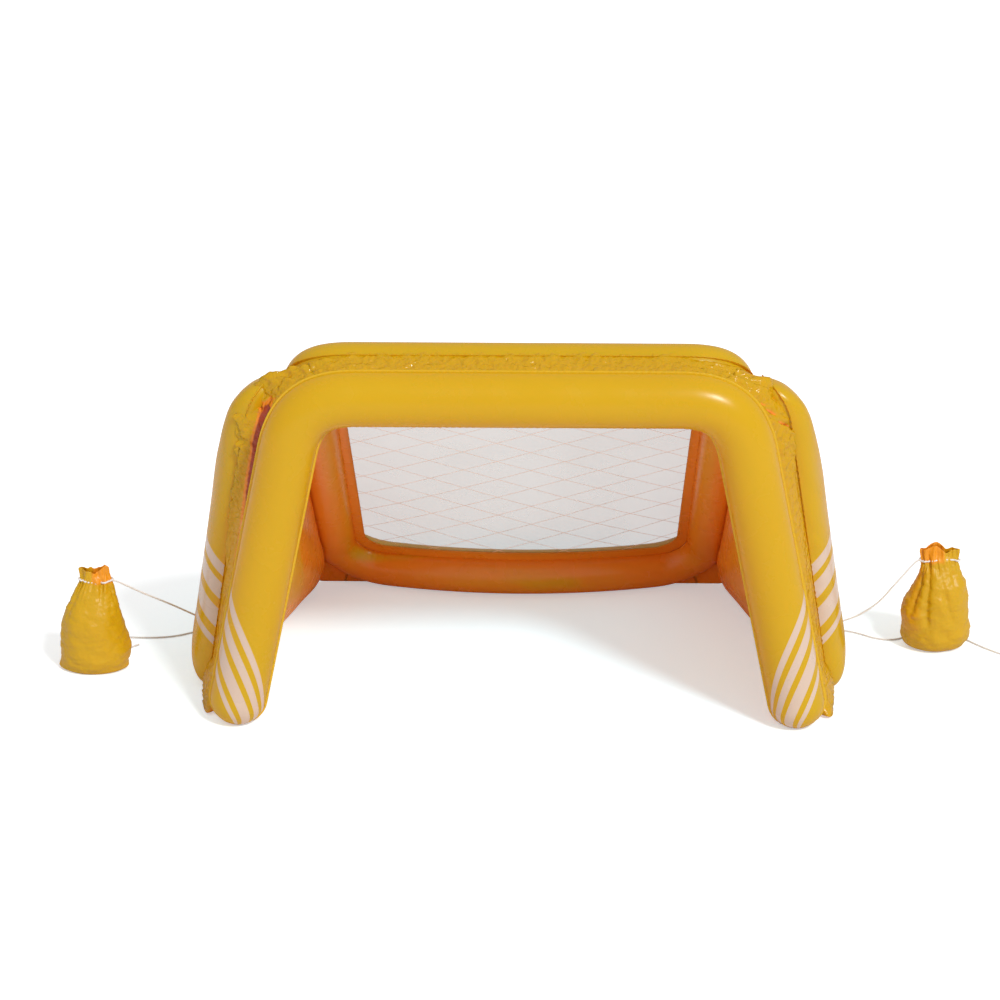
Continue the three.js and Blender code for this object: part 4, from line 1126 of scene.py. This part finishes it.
for name, side in (("left", -1), ("right", 1)):
    points = [
        Vector((side * (HOLE[0] + x / 1000), HOLE[1] + y / 1000, (up[0] if up else LYING) / 1000))
        for x, y, *up in CORD_POINTS[side]
    ]
    route = smooth_route(points)
    line = cord_curve("cord_" + name, route)
    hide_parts("anchor_cord_" + name)
    bag = BAGS[name]
    loop = []
    for k in range(160):
        turn = 2 * math.pi * k / 160
        skin = bag_point(bag, turn, NECK + 0.003 * math.sin(turn * 2 + bag.seed))
        axis = Vector((bag.x + 0.006, bag.y, skin.z))
        # The cord shows at the neck's two sides, and runs inside the folds in front and behind
        weave = max(-1.0, min(1.0, -3 * math.cos(2 * (turn + math.pi / 2)) - 0.2))
        loop.append(skin + (skin - axis).normalized() * (0.003 * weave + 0.0004))
    neck = cord_curve("neck_tie_" + name, loop, cyclic=True)
    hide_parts("neck_cord_" + name)

# Studio: a white floor that keeps the shadow, an even white surround and one soft key light from
# the front right. The camera stands 7 m in front and 3.3 m up.

floor_data = bpy.data.meshes.new("studio_floor")
floor_data.from_pydata([(-40, -40, 0), (40, -40, 0), (40, 40, 0), (-40, 40, 0)], [], [(0, 1, 2, 3)])
placed("studio_floor", floor_data)
n = Nodes(bpy.data.materials.new("studio_white"))
FLOOR_GLOW = 0.42
ray = n.add("LightPath").outputs["Is Camera Ray"]
# A painted cool tint for camera rays, strongest near the goal, takes out the warm light that the vinyl throws on
# the floor there
x, y = n.axes()[:2]
away = n.math("SQRT", n.sum((n.math("MULTIPLY", x, x), 1.0), (n.math("MULTIPLY", y, y), 1.5)))
near = n.ranged(away, 0.5, 1.0, 1.0, 0.0)
tone = n.mix(ray, (0.9, 0.9, 0.9), n.mix(near, (0.84, 0.87, 0.89), (0.68, 0.9, 0.98)))
paper = n.add("BsdfDiffuse", [("Color", tone)])
lit = n.add("Emission", [("Color", (1, 1, 1)), ("Strength", n.math("MULTIPLY", ray, FLOOR_GLOW))])
n.surface(n.add("AddShader", [(0, paper.outputs[0]), (1, lit.outputs[0])]))
floor_data.materials.append(n.material)

world = bpy.data.worlds.new("studio")
n = Nodes(world)
scene.world = world
level = n.sum((n.add("LightPath").outputs["Is Camera Ray"], 0.4), 0.6)
n.shader.inputs["Color"].default_value = (1, 1, 1, 1)
n.link(level, "Strength")

key = bpy.data.lights.new("key", "SUN")
key.energy = 2.1
key.angle = math.radians(9)
placed("key", key).rotation_euler = KEY_LIGHT.to_track_quat("Z", "Y").to_euler()

lens = bpy.data.cameras.new("camera")
lens.sensor_width = 36
lens.lens = 133.97
camera = placed("camera", lens)
yaw, pitch = -0.01609, 0.37745
camera.location = (0.0779, -7.4295, 3.2986)
looking = Vector((math.sin(yaw) * math.cos(pitch), math.cos(yaw) * math.cos(pitch), -math.sin(pitch)))
camera.rotation_euler = looking.to_track_quat("-Z", "Y").to_euler()
scene.camera = camera
scene.view_settings.view_transform = "Standard"
